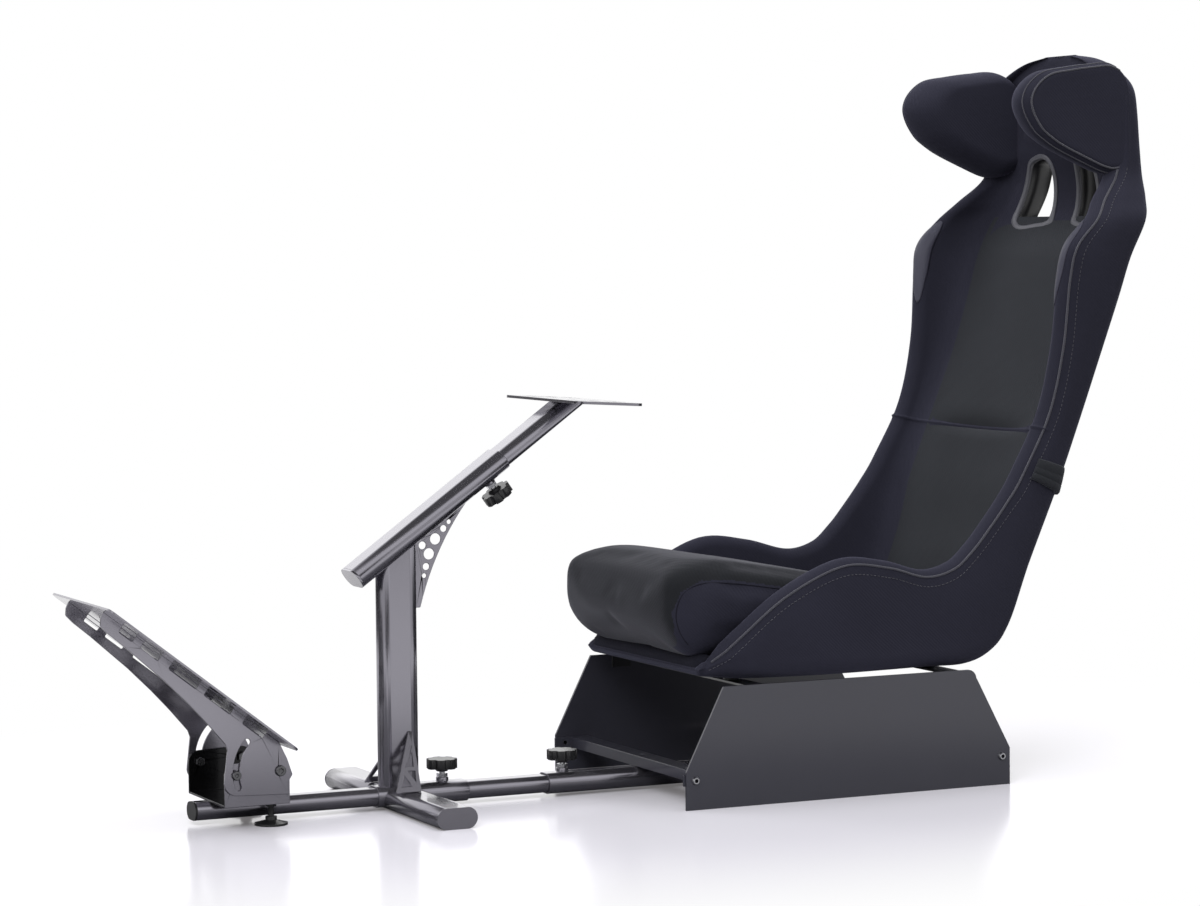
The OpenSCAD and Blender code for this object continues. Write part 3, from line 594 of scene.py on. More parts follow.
# Sections: the outer skin's y and z, the rim's y and z, the extra half width, the crown and the wall
SECTIONS = [
    (16, 5, 24, 25, -36, 0, 12), (66, 1, 60, 71, -5, 0, 21), (137, 0, 130, 128, 7, 0, 30),
    (222, 0, 216, 166, 13, 0, 30), (305, 0, 292, 160, 8, 0, 30), (370, 0, 358, 143, 1, 0, 30),
    (432, 1, 405, 152, 0, 3, 33), (475, 17, 437, 178, 0, 6, 35), (505, 53, 462, 206, 0, 8, 35),
    (540, 140, 492, 244, 0, 12, 32), (591, 254, 518, 284, -1, 14, 38), (629, 347, 561, 366, -2, 14, 39),
    (663, 439, 584, 462, 0, 14, 34), (694, 530, 593, 562, 5, 16, 32), (712, 590, 603, 609, 10, 18, 28),
    (738, 644, 637, 646, 9, 22, 28), (752, 677, 664, 676, -12, 20, 30), (761, 712, 698, 712, -34, 14, 34),
    (761, 752, 706, 752, -38, 8, 40), (757, 805, 707, 805, -38, 6, 44), (752, 840, 709, 840, -42, 6, 40),
    (749, 862, 711, 860, -66, 5, 36), (746, 879, 714, 876, -100, 4, 30), (742, 890, 718, 888, -138, 2, 22),
    (736, 896, 724, 895, -184, 0, 11)]
LAST = len(SECTIONS) - 1
# Distance from the first section's plane to the front of the solid shell
LIP_BACK = 12
SEAT_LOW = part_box("seat_shell")[0]
SEAT_ORIGIN = Vector((0, SEAT_LOW.y - LIP_BACK * MM, SEAT_LOW.z))
# Places along the seat of the back cover's hem and of the seam between the back pads
HEM_AT, SEAM_AT = 10.0, 10.75
# Steps of the half section: over the back, its corner, the outer side, the rim, the bolster and the bed
BACK_STEPS, CORNER_STEPS, SIDE_STEPS, RIM_STEPS, BOLSTER_STEPS, BED_STEPS = 12, 6, 8, 12, 14, 12
OUTER_POINTS = 1 + BACK_STEPS + CORNER_STEPS + SIDE_STEPS


class Slice:
    """One section of the seat, with its widths and depths in millimetres."""

    def __init__(self, t):
        y, z, rim_y, rim_z, extra, self.crown, wall = row_at(SECTIONS, t)
        self.depth = math.hypot(rim_y - y, rim_z - z)
        self.start = Vector((0, y, z))
        self.inward = Vector((0, rim_y - y, rim_z - z)) / self.depth
        self.half = HALF_W + extra
        self.rim = RIM_W / 2 * min(1, self.depth / RIM_FULL)
        self.wall = min(wall, self.depth - 0.9 * self.rim)
        self.corner = min(CORNER_R, self.depth * 0.5)
        reach = mix(*FILLET, min(1, max(0, (t - FILLET_FROM) / FILLET_RUN)))
        self.bed = self.half - 2 * self.rim - reach

    def point(self, x, depth):
        """The place in metres at x across the seat and a depth in from its outer skin."""
        return SEAT_ORIGIN + (Vector((x, 0, 0)) + self.start + self.inward * depth) * MM

    def bow(self, x):
        """How far the outer skin stands out at x."""
        return self.crown * (1 - (x / self.half) ** 2)

    def hollow(self, x):
        """Depth of the inner skin at x, which curves up to the bolsters."""
        return self.wall - self.bow(x) + BUCKET * self.crown * (x / self.half) ** 2

    def rim_point(self, angle, lift, side):
        """Point of the rim, from 0 at its outer side over the top to 180 at its inner side."""
        a = math.radians(angle)
        r = self.rim + lift
        return self.point(side * (self.half - self.rim + r * math.cos(a)),
                          self.depth - self.rim + r * math.sin(a))

    def side_point(self, below, lift, side):
        """Point of the outer side, so far below the rim's side."""
        return self.point(side * (self.half + lift + self.bulge(self.depth - self.rim - below)),
                          self.depth - self.rim - below)

    def bulge(self, depth):
        """How far the side stands out at a depth."""
        share = (depth - self.corner) / max(1, self.depth - self.rim - self.corner)
        return BULGE * math.sin(math.pi * min(1, max(0, share))) * min(1, self.depth / BULGE_FULL)

    def inner(self, share):
        """Point (x, depth) of the bolster's inner side, from the rim at 0 to the bed at 1."""
        top = (self.half - 2 * self.rim, self.depth - self.rim)
        low = (self.bed, self.hollow(self.bed))
        upper = (top[0] - BOLSTER_LEAN, mix(top[1], low[1], BOLSTER_STRAIGHT))
        handles = (top, upper, (mix(low[0], top[0], BOLSTER_STRAIGHT), low[1]), low)
        weights = ((1 - share) ** 3, 3 * share * (1 - share) ** 2, 3 * share ** 2 * (1 - share), share ** 3)
        return tuple(sum(w * h[k] for w, h in zip(weights, handles)) for k in (0, 1))

    def half_loop(self):
        """The half section from the middle of the outer skin round to the middle of the inner skin."""
        back = self.half - self.corner
        out = [(back * k / BACK_STEPS, -self.bow(back * k / BACK_STEPS)) for k in range(BACK_STEPS + 1)]
        for k in range(1, CORNER_STEPS + 1):
            a = math.radians(90 * k / CORNER_STEPS)
            out.append((back + self.corner * math.sin(a),
                        self.corner - (self.corner + self.bow(back)) * math.cos(a)))
        for k in range(1, SIDE_STEPS + 1):
            depth = mix(self.corner, self.depth - self.rim, k / SIDE_STEPS)
            out.append((self.half + self.bulge(depth), depth))
        for k in range(1, RIM_STEPS):
            a = math.radians(180 * k / RIM_STEPS)
            out.append((self.half - self.rim + self.rim * math.cos(a),
                        self.depth - self.rim + self.rim * math.sin(a)))
        out += [self.inner(k / BOLSTER_STEPS) for k in range(BOLSTER_STEPS + 1)]
        bed = [self.bed * (1 - k / BED_STEPS) for k in range(1, BED_STEPS + 1)]
        return out + [(x, self.hollow(x)) for x in bed]

    def loop(self, flat=1.0, forward=0.0):
        """The whole closed section, pressed flat towards its middle and moved along the seat."""
        half = self.half_loop()
        both = half + [(-x, d) for x, d in reversed(half[1:-1])]
        middle = self.wall / 2
        along = Vector((0, self.inward.z, -self.inward.y)) * forward * MM
        return [self.point(x, middle + (d - middle) * flat) + along for x, d in both]


RINGS_PER_SECTION = 8
# Rings beside a sewn seam, in sections, and the seam's width in sections and its depth
SEAM_RINGS = (-0.05, -0.03, -0.015, 0, 0.015, 0.03, 0.05)
SEAM_W, SEAM_DEPTH = 0.02, 2.6
# Turns of the rounded ends' rings, and how far the front and the top end are rounded
END_TURNS = [math.radians(a) for a in (0, 30, 60, 80)]
FRONT_ROUND, TOP_ROUND = 9, 1
# Share of its thickness that the last ring keeps, and the distance in metres at which points are welded
THINNEST, WELD = 0.02, 0.0006


def seat_places():
    """Places of the shell's rings, close together at its hem and its seam."""
    even = [k / RINGS_PER_SECTION for k in range(LAST * RINGS_PER_SECTION + 1)]
    close = [at + step for at in (HEM_AT, SEAM_AT) for step in SEAM_RINGS]
    return sorted(set(even + close))


def seat_mesh():
    """The whole shell as one skin, with rounded ends and a sewn seam across its inner side."""
    places = seat_places()
    front, top = Slice(0), Slice(LAST)
    rings = [front.loop(max(THINNEST, math.sin(a)), -FRONT_ROUND * math.cos(a)) for a in END_TURNS]
    rings += [Slice(t).loop() for t in places]
    rings += [top.loop(max(THINNEST, math.sin(a)), TOP_ROUND * math.cos(a)) for a in reversed(END_TURNS)]
    size = len(rings[0])
    data = loft("seat_skin", rings)
    inner = [i for i in range(size) if min(i, size - i) >= OUTER_POINTS]
    data.materials.append(material("knit_fabric"))
    data.update()
    normals = [v.normal.copy() for v in data.vertices]
    for j, t in enumerate(places, len(END_TURNS)):
        dip = math.exp(-((t - SEAM_AT) / SEAM_W) ** 2)
        if dip > 0.01:
            for i in inner:
                v = data.vertices[j * size + i]
                v.co -= normals[v.index] * (SEAM_DEPTH * MM * dip)
    outward(data)
    edit_mesh(data, lambda work: bmesh.ops.remove_doubles(work, verts=work.verts, dist=WELD))
    return data


def skin_tree(data):
    return BVHTree.FromPolygons([v.co for v in data.vertices], [tuple(p.vertices) for p in data.polygons])


# Harness slots: width of the solid's trim at the slot's inner side, its foot and its outer side
TRIM_IN, TRIM_FOOT, TRIM_OUT = 7, 8, 6


def slot_outline():
    """Outline of the left slot in x and z, millimetres, placed by its trim in the solid."""
    low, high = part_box("slot_trim_left")
    x0, z0 = low.x / MM + TRIM_IN, low.z / MM + TRIM_FOOT
    x1, z1 = high.x / MM - TRIM_OUT, high.z / MM
    corners = [(x0, z0 + 12), (x0 + 8, z0 + 3), (x0 + 30, z0), (x1 - 16, z0 - 3), (x1, z0 + 3),
               (x1 + 3, z0 + 16), (x1 - 9, z0 + 50), (x1 - 20, z1 - 16), (x1 - 30, z1 - 2),
               (x0 + 22, z1 + 5), (x0 + 6, z1 + 1), (x0, z1 - 14), (x0 - 1, z0 + 50)]
    return smooth_closed(corners, 78)


# Depths in metres between which the slots are cut, and from which the skin is looked for
CUT_FRONT, CUT_BACK = 0.98, 1.15
LOOK_FRONT, LOOK_BACK = 0.6, 1.4


def at_depth(outline, depths, side):
    """Ring of a slot at one side of the seat: an outline, and the depth of each of its points."""
    return [Vector((side * p.x * MM, y, p.y * MM)) for p, y in zip(outline, depths)]


def slot_cutter(side):
    outline = slot_outline()
    rings = [at_depth(outline, [y] * len(outline), side) for y in (CUT_FRONT, CUT_BACK)]
    return link_object("slot_cutter", solid_loft("slot_cutter", rings))


def cut(piece, tools):
    """Cuts the tools' shapes out of a piece and removes the tools."""
    for tool in tools:
        change = piece.modifiers.new("Cut", "BOOLEAN")
        change.operation = "DIFFERENCE"
        change.solver = "EXACT"
        change.object = tool
    settle(piece)
    for tool in tools:
        bpy.data.objects.remove(tool)


class COCKPIT_OT_shell(bpy.types.Operator):
    """Makes the upholstered seat shell with its harness slots"""
    bl_idname = "cockpit.shell"
    bl_label = "Seat shell"

    def execute(self, context):
        shell = add_piece("upholstered_shell", seat_mesh(), None, ["seat_shell"])
        cut(shell, [slot_cutter(side) for side in (1, -1)])
        return {"FINISHED"}


def skin_depth(tree, x, z, front):
    """Depth of the shell's skin at x and z, seen from the front or from the back."""
    start, run = (LOOK_FRONT, 1) if front else (LOOK_BACK, -1)
    place = tree.ray_cast(Vector((x, start, z)), Vector((0, run, 0)))[0]
    if place is None:
        raise RuntimeError(f"no skin at {x}, {z}")
    return place.y


# Sections of the flange and of the liner's rear rim: distance in from the outline, height above the skin
FLANGE = ((-7.5, 0.0), (-7, 1.6), (-5, 2.8), (-2.2, 3.2), (0.2, 2.4), (1.2, 0.4), (1.4, -4))
LINER_RIM = ((-1, 1.8), (-5, 2.2), (-7, 1.2), (-7.5, -0.5))
LINER_IN = 1.3
# Thickness of both in metres
FLANGE_T, LINER_T = 0.0008, 0.0012
# Share by which the flange is wider at the slot's foot, and the heights over which it narrows
FOOT_WIDER, FOOT_RUN = 1.7, (4, 26)


def slot_bezel(tree, side):
    """Rounded flange on the skin round a slot, and the liner that runs through it."""
    outline = slot_outline()
    front, back = [[skin_depth(tree, side * p.x * MM, p.y * MM, way) for p in inset(outline, -1)]
                   for way in (True, False)]
    foot = min(p.y for p in outline)
    rings = []
    for out, lift in FLANGE:
        ring = [near.lerp(far, 1 - ramp(near.y - foot, *FOOT_RUN))
                for near, far in zip(inset(outline, out), inset(outline, FOOT_WIDER * out))]
        rings.append(at_depth(ring, [y - lift * MM for y in front], side))
    throat = inset(outline, LINER_IN)
    liner = [at_depth(throat, [mix(a + 0.003, b, share) for a, b in zip(front, back)], side)
             for share in (0, 0.5, 1)]
    liner += [at_depth(inset(outline, out), [y + lift * MM for y in back], side) for out, lift in LINER_RIM]
    return loft(f"bezel_{side}", rings), loft(f"liner_{side}", liner)


class COCKPIT_OT_slots(bpy.types.Operator):
    """Makes the edged openings that the harness belts pass through"""
    bl_idname = "cockpit.slots"
    bl_label = "Harness slots"

    def execute(self, context):
        tree = skin_tree(seat_mesh())
        for side, name in ((1, "left"), (-1, "right")):
            flange, liner = slot_bezel(tree, side)
            for data in (flange, liner):
                if side < 0:
                    data.flip_normals()
            trim = [f"slot_trim_{name}"]
            thicken(add_piece(f"slot_edge_{name}", flange, "grey_trim", trim), FLANGE_T)
            thicken(add_piece(f"slot_liner_{name}", liner, "black_plastic"), LINER_T)
        return {"FINISHED"}


# Back and head pads: name, places of the two ends along the seat, thickness, share of the bed's width, the
# end sewn to the next pad, and finish
PADS = (("back_pad_lower", 8.0, 10.735, 13, 1.06, "high", "centre_knit"),
        ("back_pad_upper", 10.765, 15.2, 13, 1.06, "low", "centre_knit"),
        ("head_pad", 17.9, 20.6, 16, 0.95, "", "knit_fabric"))
PAD_ACROSS, PAD_ALONG = 36, 72
# Shares of a pad's length over which it rises at a sewn end and at a free one
SEWN_RISE, FREE_RISE = 0.09, 0.3
# Depths to which a pad's rim and its underside are sunk into the shell's skin
RIM_SUNK, PAD_SUNK = 0.5, 2.5


def pad_mesh(name, start, end, thick, share, sewn):
    """Crowned pad that runs out into the shell's inner skin, and is drawn in at its sewn end."""
    top, low = [], []
    for j in range(PAD_ALONG + 1):
        v = j / PAD_ALONG
        s = Slice(mix(start, end, v))
        lift = 1.0
        for edge, seam in ((v, sewn == "low"), (1 - v, sewn == "high")):
            lift *= 1 - (1 - min(1, edge / SEWN_RISE)) ** 3 if seam else ramp(edge, 0, FREE_RISE)
        for k in range(PAD_ACROSS + 1):
            u = 2 * k / PAD_ACROSS - 1
            x = u * s.bed * share
            base = s.hollow(x)
            top.append(s.point(x, base - RIM_SUNK + thick * lift * (1 - u * u) ** 1.2))
            low.append(s.point(x, base - PAD_SUNK))
    row, count = PAD_ACROSS + 1, len(top)
    faces = ring_faces(PAD_ALONG + 1, row, closed=False)
    right = [j * row + PAD_ACROSS for j in range(1, PAD_ALONG)]
    left = [j * row for j in range(PAD_ALONG - 1, 0, -1)]
    rim = list(range(row)) + right + list(range(count - 1, count - row - 1, -1)) + left
    sides = [(a, b, b + count, a + count) for a, b in zip(rim, rim[1:] + rim[:1])]
    under = [tuple(v + count for v in reversed(face)) for face in faces]
    data = mesh_from(name, top + low, faces + under + sides)
    outward(data)
    data.set_sharp_from_angle(angle=math.radians(50))
    return data


class COCKPIT_OT_back_pads(bpy.types.Operator):
    """Makes the padded panels of the backrest and the head"""
    bl_idname = "cockpit.back_pads"
    bl_label = "Back and head pads"

    def execute(self, context):
        for name, start, end, thick, share, sewn, finish in PADS:
            data = pad_mesh(name, start, end, thick, share, sewn)
            add_piece(name + "_cover", data, finish, [name])
        return {"FINISHED"}


# Head wings: outline of the fullest section in y and z, millimetres
WING = [(1080, 1055), (1040, 1054), (1000, 1049), (962, 1042), (937, 1024), (926, 1002), (930, 980),
        (946, 955), (965, 940), (987, 927), (1027, 909), (1067, 893), (1090, 892), (1112, 905), (1114, 960),
        (1108, 1030)]
# Distances from the middle of the seat to a wing's inner face, fullest section and outer face
WING_IN, WING_FULL, WING_OUT = 116, 166, 186.6
# The place that a wing is rounded towards, and how far back its piping and seam show
WING_ROOT = Vector((1077, 990))
WING_PIPED_TO = 1092
# Share of the outline that the rounding takes away at the inner and the outer face
WING_ROUND = (0.3, 0.155)
# Mean reach of the outline from that place, which turns a lift into a share
WING_SPAN = 150
# Cords sewn on a wing: name, turn as in wing_ring, and radius
WING_CORDS = (("piping", 66, 0.0015), ("seam", 30, 0.0009))
CORD_POINTS = 240


def wing_ring(turn, side, lift=0.0, count=120):
    """Ring of a wing at a turn, which is -90 degrees at its inner face and 90 at its outer one."""
    a = math.radians(turn)
    outer = turn >= 0
    reach = WING_OUT - WING_FULL if outer else WING_FULL - WING_IN
    x = WING_FULL + (reach + lift) * math.sin(a)
    share = 1 - WING_ROUND[outer] * (1 - math.cos(a)) + lift / WING_SPAN
    outline = [WING_ROOT + (p - WING_ROOT) * share for p in smooth_closed(WING, count)]
    return [Vector((side * x, *p)) * MM for p in outline]


def wing_mesh(side):
    rings = [wing_ring(turn, side) for turn in range(-90, 91, 6)]
    for turn in (-90, 90):
        ring = wing_ring(turn, side)
        middle = sum(ring, Vector()) / len(ring)
        for shrink in (0.9, 0.5):
            rings.insert(0 if turn < 0 else len(rings), [mix(middle, p, shrink) for p in ring])
    return solid_loft("head_wing", rings)


class COCKPIT_OT_wings(bpy.types.Operator):
    """Makes the padded wings beside the head, with their piping"""
    bl_idname = "cockpit.wings"
    bl_label = "Head wings"

    def execute(self, context):
        for side, name in ((1, "left"), (-1, "right")):
            node = f"head_wing_{name}"
            wing = add_piece(node + "_cover", wing_mesh(side), "knit_fabric", [node])
            for part, turn, radius in WING_CORDS:
                ring = wing_ring(turn, side, 0.6, CORD_POINTS)
                visible = [k for k, p in enumerate(ring) if p.y < WING_PIPED_TO * MM]
                start = next(k for k in visible if k - 1 not in visible and k)
                path = [ring[(start + k) % CORD_POINTS] for k in range(len(visible))]
                cord(f"wing_{part}_{name}", path, radius, "thread")
        return {"FINISHED"}


# Seat cushion, in millimetres behind the shell's front and above its own floor, which is this far up
CUSHION_FLOOR = 30.8
# Sections of the cushion: y, bottom, top and half width
CUSHION = [(-37, 72, 104, 158), (-35, 54, 114, 170), (-29, 37, 123, 178), (-18, 20, 128, 182),
           (-4, 7, 132, 183), (12, 1, 134, 183), (36, 0, 134, 183), (70, 0, 131, 181), (145, 0, 118, 181),
           (225, 0, 104, 181), (320, 0, 84, 180), (395, 0, 62, 178), (424, 8, 48, 172)]
RINGS_PER_CUSHION_SECTION = 6
# How square its section is at the sides and at the top and bottom: 1 is round, 0 is square
SQUARE_SIDE, SQUARE_TOP = 0.18, 0.35
# Seam round its side panel, y and z, and how far out the side panel begins
CUSHION_SEAM = [(330, 60), (225, 82), (145, 96), (70, 108), (20, 111), (-14, 96), (-27, 66), (-21, 36),
                (-6, 10)]
SEAM_STEPS, SEAM_PASSES, CUSHION_SEAM_R = 8, 12, 0.0009
SIDE_FROM, SIDE_OUT = 140, 186
# Places behind and below the cushion that close the seam to a loop
SEAM_CLOSED_BY = [(0, -20), (340, -20)]
# Size of the cloth's cells, its pressure, the frames it runs, and the furthest that a point may move
CLOTH_CELL, CLOTH_PRESSURE, CLOTH_FRAMES, CLOTH_REACH = 0.005, 3, 20, 0.005
# How often its small wrinkles are smoothed
RELAX_PASSES = 14


def on_cushion(x, y, z):
    """The place in metres of a point in the cushion's frame."""
    return SEAT_ORIGIN + Vector((x, y, CUSHION_FLOOR + z)) * MM


def squared(value, power):
    return math.copysign(abs(value) ** power, value)


def cushion_ring(t, count=72):
    """Closed ring of the cushion at place t along its sections."""
    y, low, high, half = row_at(CUSHION, t)
    middle, h = (low + high) / 2, (high - low) / 2
    ring = []
    for k in range(count):
        a = math.tau * k / count
        across, up = squared(math.cos(a), SQUARE_SIDE), squared(math.sin(a), SQUARE_TOP)
        ring.append(on_cushion(half * across, y, middle + h * up))
    return ring


def inflate(piece, pressure, cap):
    """Swells a closed mesh as cloth, moving no point further than the cap."""
    shrink = piece.modifiers.new("Remesh", "REMESH")
    shrink.mode = "VOXEL"
    shrink.voxel_size = CLOTH_CELL
    settle(piece)
    start = [v.co.copy() for v in piece.data.vertices]
    cloth = piece.modifiers.new("Cloth", "CLOTH")
    cloth.settings.use_pressure = True
    cloth.settings.uniform_pressure_force = pressure
    cloth.settings.effector_weights.gravity = 0
    cloth.settings.quality = 5
    scene = bpy.context.scene
    for frame_number in range(1, CLOTH_FRAMES + 1):
        scene.frame_set(frame_number)
    swollen = evaluated(piece)
    moved = [v.co.copy() for v in swollen.vertices]
    piece.modifiers.clear()
    scene.frame_set(1)
    for v, old, new in zip(piece.data.vertices, start, moved):
        step = new - old
        if step.length > cap:
            step *= cap / step.length
        v.co = old + step
    piece.data.update()


def on_side_panel(y, z):
    """Whether a place in the cushion's frame lies inside the seam of the side panel."""
    loop = CUSHION_SEAM + SEAM_CLOSED_BY
    inside = False
    for (y0, z0), (y1, z1) in zip(loop, loop[1:] + loop[:1]):
        if (z0 > z) != (z1 > z) and y < y0 + (z - z0) * (y1 - y0) / (z1 - z0):
            inside = not inside
    return inside


def cushion_seam(tree, side):
    """Path of the seam on the cushion's skin, smoothed to an even run."""
    path = []
    for (y0, z0), (y1, z1) in zip(CUSHION_SEAM, CUSHION_SEAM[1:]):
        for k in range(SEAM_STEPS):
            share = k / SEAM_STEPS
            path.append(on_cushion(side * SIDE_OUT, mix(y0, y1, share), mix(z0, z1, share)))
    path.append(on_cushion(side * SIDE_OUT, *CUSHION_SEAM[-1]))
    path = [tree.find_nearest(place)[0] for place in path]
    for _ in range(SEAM_PASSES):
        path[1:-1] = [(a + 2 * b + c) / 4 for a, b, c in zip(path, path[1:], path[2:])]
    return path


class COCKPIT_OT_cushion(bpy.types.Operator):
    """Makes the seat cushion, swollen as cloth, with its seams"""
    bl_idname = "cockpit.cushion"
    bl_label = "Seat cushion"

    def execute(self, context):
        steps = (len(CUSHION) - 1) * RINGS_PER_CUSHION_SECTION
        rings = [cushion_ring(k / RINGS_PER_CUSHION_SECTION) for k in range(steps + 1)]
        data = solid_loft("cushion", rings)
        cushion = add_piece("seat_cushion_cover", data, "cushion_knit", ["seat_cushion"])
        inflate(cushion, CLOTH_PRESSURE, CLOTH_REACH)
        relax = cushion.modifiers.new("Relax", "SMOOTH")
        relax.iterations = RELAX_PASSES
        smooth = cushion.modifiers.new("Smooth", "SUBSURF")
        smooth.levels = smooth.render_levels = 1
        settle(cushion)
        data = cushion.data
        data.materials.clear()
        for finish in ("cushion_knit", "knit_fabric"):
            data.materials.append(material(finish))
        for face in data.polygons:
            place = (face.center - on_cushion(0, 0, 0)) / MM
            if abs(place.x) > SIDE_FROM and on_side_panel(place.y, place.z):
                face.material_index = 1
        tree = skin_tree(data)
        for side, name in ((1, "left"), (-1, "right")):
            path = cushion_seam(tree, side)
            cord(f"cushion_seam_{name}", path, CUSHION_SEAM_R, "black_webbing")
        return {"FINISHED"}


# Padded roll under the cushion's nose, millimetres: half its length, half its depth and height, the place
# of its middle behind and above the shell's front and underside, and how square its section is
LIP_HALF, LIP_DEPTH, LIP_HEIGHT = 180, 17, 15
LIP_Y, LIP_Z = 28, 19
LIP_SQUARE = 0.8
LIP_RINGS, LIP_POINTS = 61, 32
# The roll's ends: how late they draw in, and the shares of its depth and height that are left
LIP_END, LIP_THIN_DEPTH, LIP_THIN_HEIGHT = 36, 0.3, 0.03
# Seam along the roll: the point of the section where it runs, its width in points and its depth
LIP_SEAM_AT, LIP_SEAM_W, LIP_SEAM = 17, 0.6, 1.6


def lip_mesh():
    """Roll along the shell's front edge, with drawn-in ends and a seam along it."""
    rings = []
    for k in range(LIP_RINGS):
        u = 2 * k / (LIP_RINGS - 1) - 1
        fat = (1 - abs(u) ** LIP_END) ** 0.5 if abs(u) < 1 else LIP_THIN_HEIGHT
        ring = []
        for i in range(LIP_POINTS):
            a = math.tau * i / LIP_POINTS
            y = LIP_DEPTH * squared(math.cos(a), LIP_SQUARE) * mix(LIP_THIN_DEPTH, 1, fat)
            z = LIP_HEIGHT * squared(math.sin(a), LIP_SQUARE) * max(LIP_THIN_HEIGHT, fat)
            seam = LIP_SEAM * math.exp(-((i - LIP_SEAM_AT) / LIP_SEAM_W) ** 2)
            ring.append(SEAT_ORIGIN + Vector((u * LIP_HALF, LIP_Y + y + seam, LIP_Z + z)) * MM)
        rings.append(ring)
    return solid_loft("front_lip", rings)


class COCKPIT_OT_lip(bpy.types.Operator):
    """Makes the padded roll along the front edge of the shell"""
    bl_idname = "cockpit.lip"
    bl_label = "Front roll"

    def execute(self, context):
        add_piece("front_roll", lip_mesh(), "black_webbing")
        return {"FINISHED"}


# Crescent of smooth fabric on each shoulder: places of its two tips along the seat
PATCH_TIPS = (12.55, 15.0)
# Turns about the rim, as in Slice.rim_point: its outer edge's in the middle, and how much more it has at the
# tips; its inner edge's at the tips and in the middle
PATCH_OUTER, PATCH_TIP_TURN = 66, 50
PATCH_INNER = (121, 180)
PATCH_ALONG, PATCH_ACROSS = 48, 12
# Height of the patch above the skin in metres, the depth of its tucked-in edge, and its thickness
PATCH_LIFT, PATCH_TUCK, PATCH_T = 0.0011, 0.0002, 0.0012


def patch_mesh(tree, side):
    """The crescent's upper skin, laid on the shell."""
    rows = []
    for j in range(PATCH_ALONG + 1):
        v = j / PATCH_ALONG
        s = Slice(mix(*PATCH_TIPS, v))
        outer = PATCH_OUTER + PATCH_TIP_TURN * (2 * v - 1) ** 4
        inner = mix(*PATCH_INNER, math.sin(math.pi * v) ** 0.6)
        row = []
        for k in range(PATCH_ACROSS + 1):
            u = k / PATCH_ACROSS
            place = s.rim_point(mix(outer, inner, u), 0, side)
            near, normal, _, _ = tree.find_nearest(place)
            edge = min(1, 6 * min(u, 1 - u), 12 * min(v, 1 - v))
            row.append(near + normal * (PATCH_LIFT * edge - PATCH_TUCK))
        rows.append(row)
    return loft("shoulder_patch", rows, closed=False)


class COCKPIT_OT_patches(bpy.types.Operator):
    """Sews the smooth crescents inside the shoulders"""
    bl_idname = "cockpit.patches"
    bl_label = "Shoulder patches"

    def execute(self, context):
        tree = skin_tree(seat_mesh())
        for side, name in ((1, "left"), (-1, "right")):
            data = patch_mesh(tree, side)
            if side < 0:
                data.flip_normals()
            thicken(add_piece(f"shoulder_patch_{name}", data, "vinyl"), PATCH_T)
        return {"FINISHED"}


# Section of the back cover's hem: place along the seat and height above the skin
HEM = ((9.92, -0.5), (9.92, 4.4), (9.94, 5.2), (10.02, 4.4), (10.03, 3.7), (10.04, 4.2), (10.13, 3.2),
       (10.14, 2.6), (10.15, 2.9), (10.24, 1.6), (10.27, 0.6), (10.28, -0.5))
HEM_T = 0.001
# Places of the rim's piping along the seat, the turn where it is sewn on, and how far it stands out
TRIM_PLACES = [0.2 + k * 0.07 for k in range(244)]
PIPING_TURN, PIPING_OUT = 24, 0.4
# How far below the rim its stitching runs, and how far it stands out
STITCHED_BELOW, STITCH_OUT = 7, 0.3


def hem_mesh():
    """Band over the shell's back and sides, raised along its upper edge."""
    rows = []
    for t, lift in HEM:
        s = Slice(t)
        half = s.half_loop()[:OUTER_POINTS - 1]
        path = [Vector((-x, d)) for x, d in reversed(half[1:])] + [Vector(p) for p in half]
        runs = [(b - a).normalized() for a, b in zip(path[:1] + path, path[1:] + path[-1:])]
        rows.append([s.point(p.x + run.y * lift, p.y - run.x * lift) for p, run in zip(path, runs)])
    return loft("hem", rows, closed=False)


class COCKPIT_OT_trims(bpy.types.Operator):
    """Makes the piping and stitching along the seat's rim and the hem of its back cover"""
    bl_idname = "cockpit.trims"
    bl_label = "Piping, stitching and hem"

    def execute(self, context):
        radius = context.scene.cockpit_fabric.piping
        slices = [Slice(t) for t in TRIM_PLACES]
        rows = []
        for side, name in ((1, "left"), (-1, "right")):
            path = [s.rim_point(PIPING_TURN, radius / MM * PIPING_OUT, side) for s in slices]
            cord(f"rim_piping_{name}", path, radius, "thread")
            rows.append([s.side_point(STITCHED_BELOW, STITCH_OUT, side) for s in slices])
        stitches("rim_stitching", rows)
        hem = add_piece("back_cover_edge", hem_mesh(), "centre_knit", ["back_cover_hem"])
        thicken(hem, HEM_T)
        return {"FINISHED"}


# Distance at which the metal parts' points are merged, and the angle from which their edges are broken
MERGE, BROKEN_FROM = 0.00002, math.radians(32)


class COCKPIT_OT_metal(bpy.types.Operator):
    """Paints the tubes, plates, knobs and bolts and breaks their edges"""
    bl_idname = "cockpit.metal"
    bl_label = "Frame parts"

    def execute(self, context):
        edge = context.scene.cockpit_paint.edge
        for row in frame["record"]["subparts"]:
            node = NODES[row["node"]]
            node.data.materials.clear()
            node.data.materials.append(material(FINISHES.get(row["node"], row["material_slot"])))
            weld = node.modifiers.new("Weld", "WELD")
            weld.merge_threshold = MERGE
            bevel = node.modifiers.new("Edge", "BEVEL")
            bevel.width = edge
            bevel.segments = 2
            bevel.limit_method = "ANGLE"
            bevel.angle_limit = BROKEN_FROM
            bevel.harden_normals = True
        return {"FINISHED"}


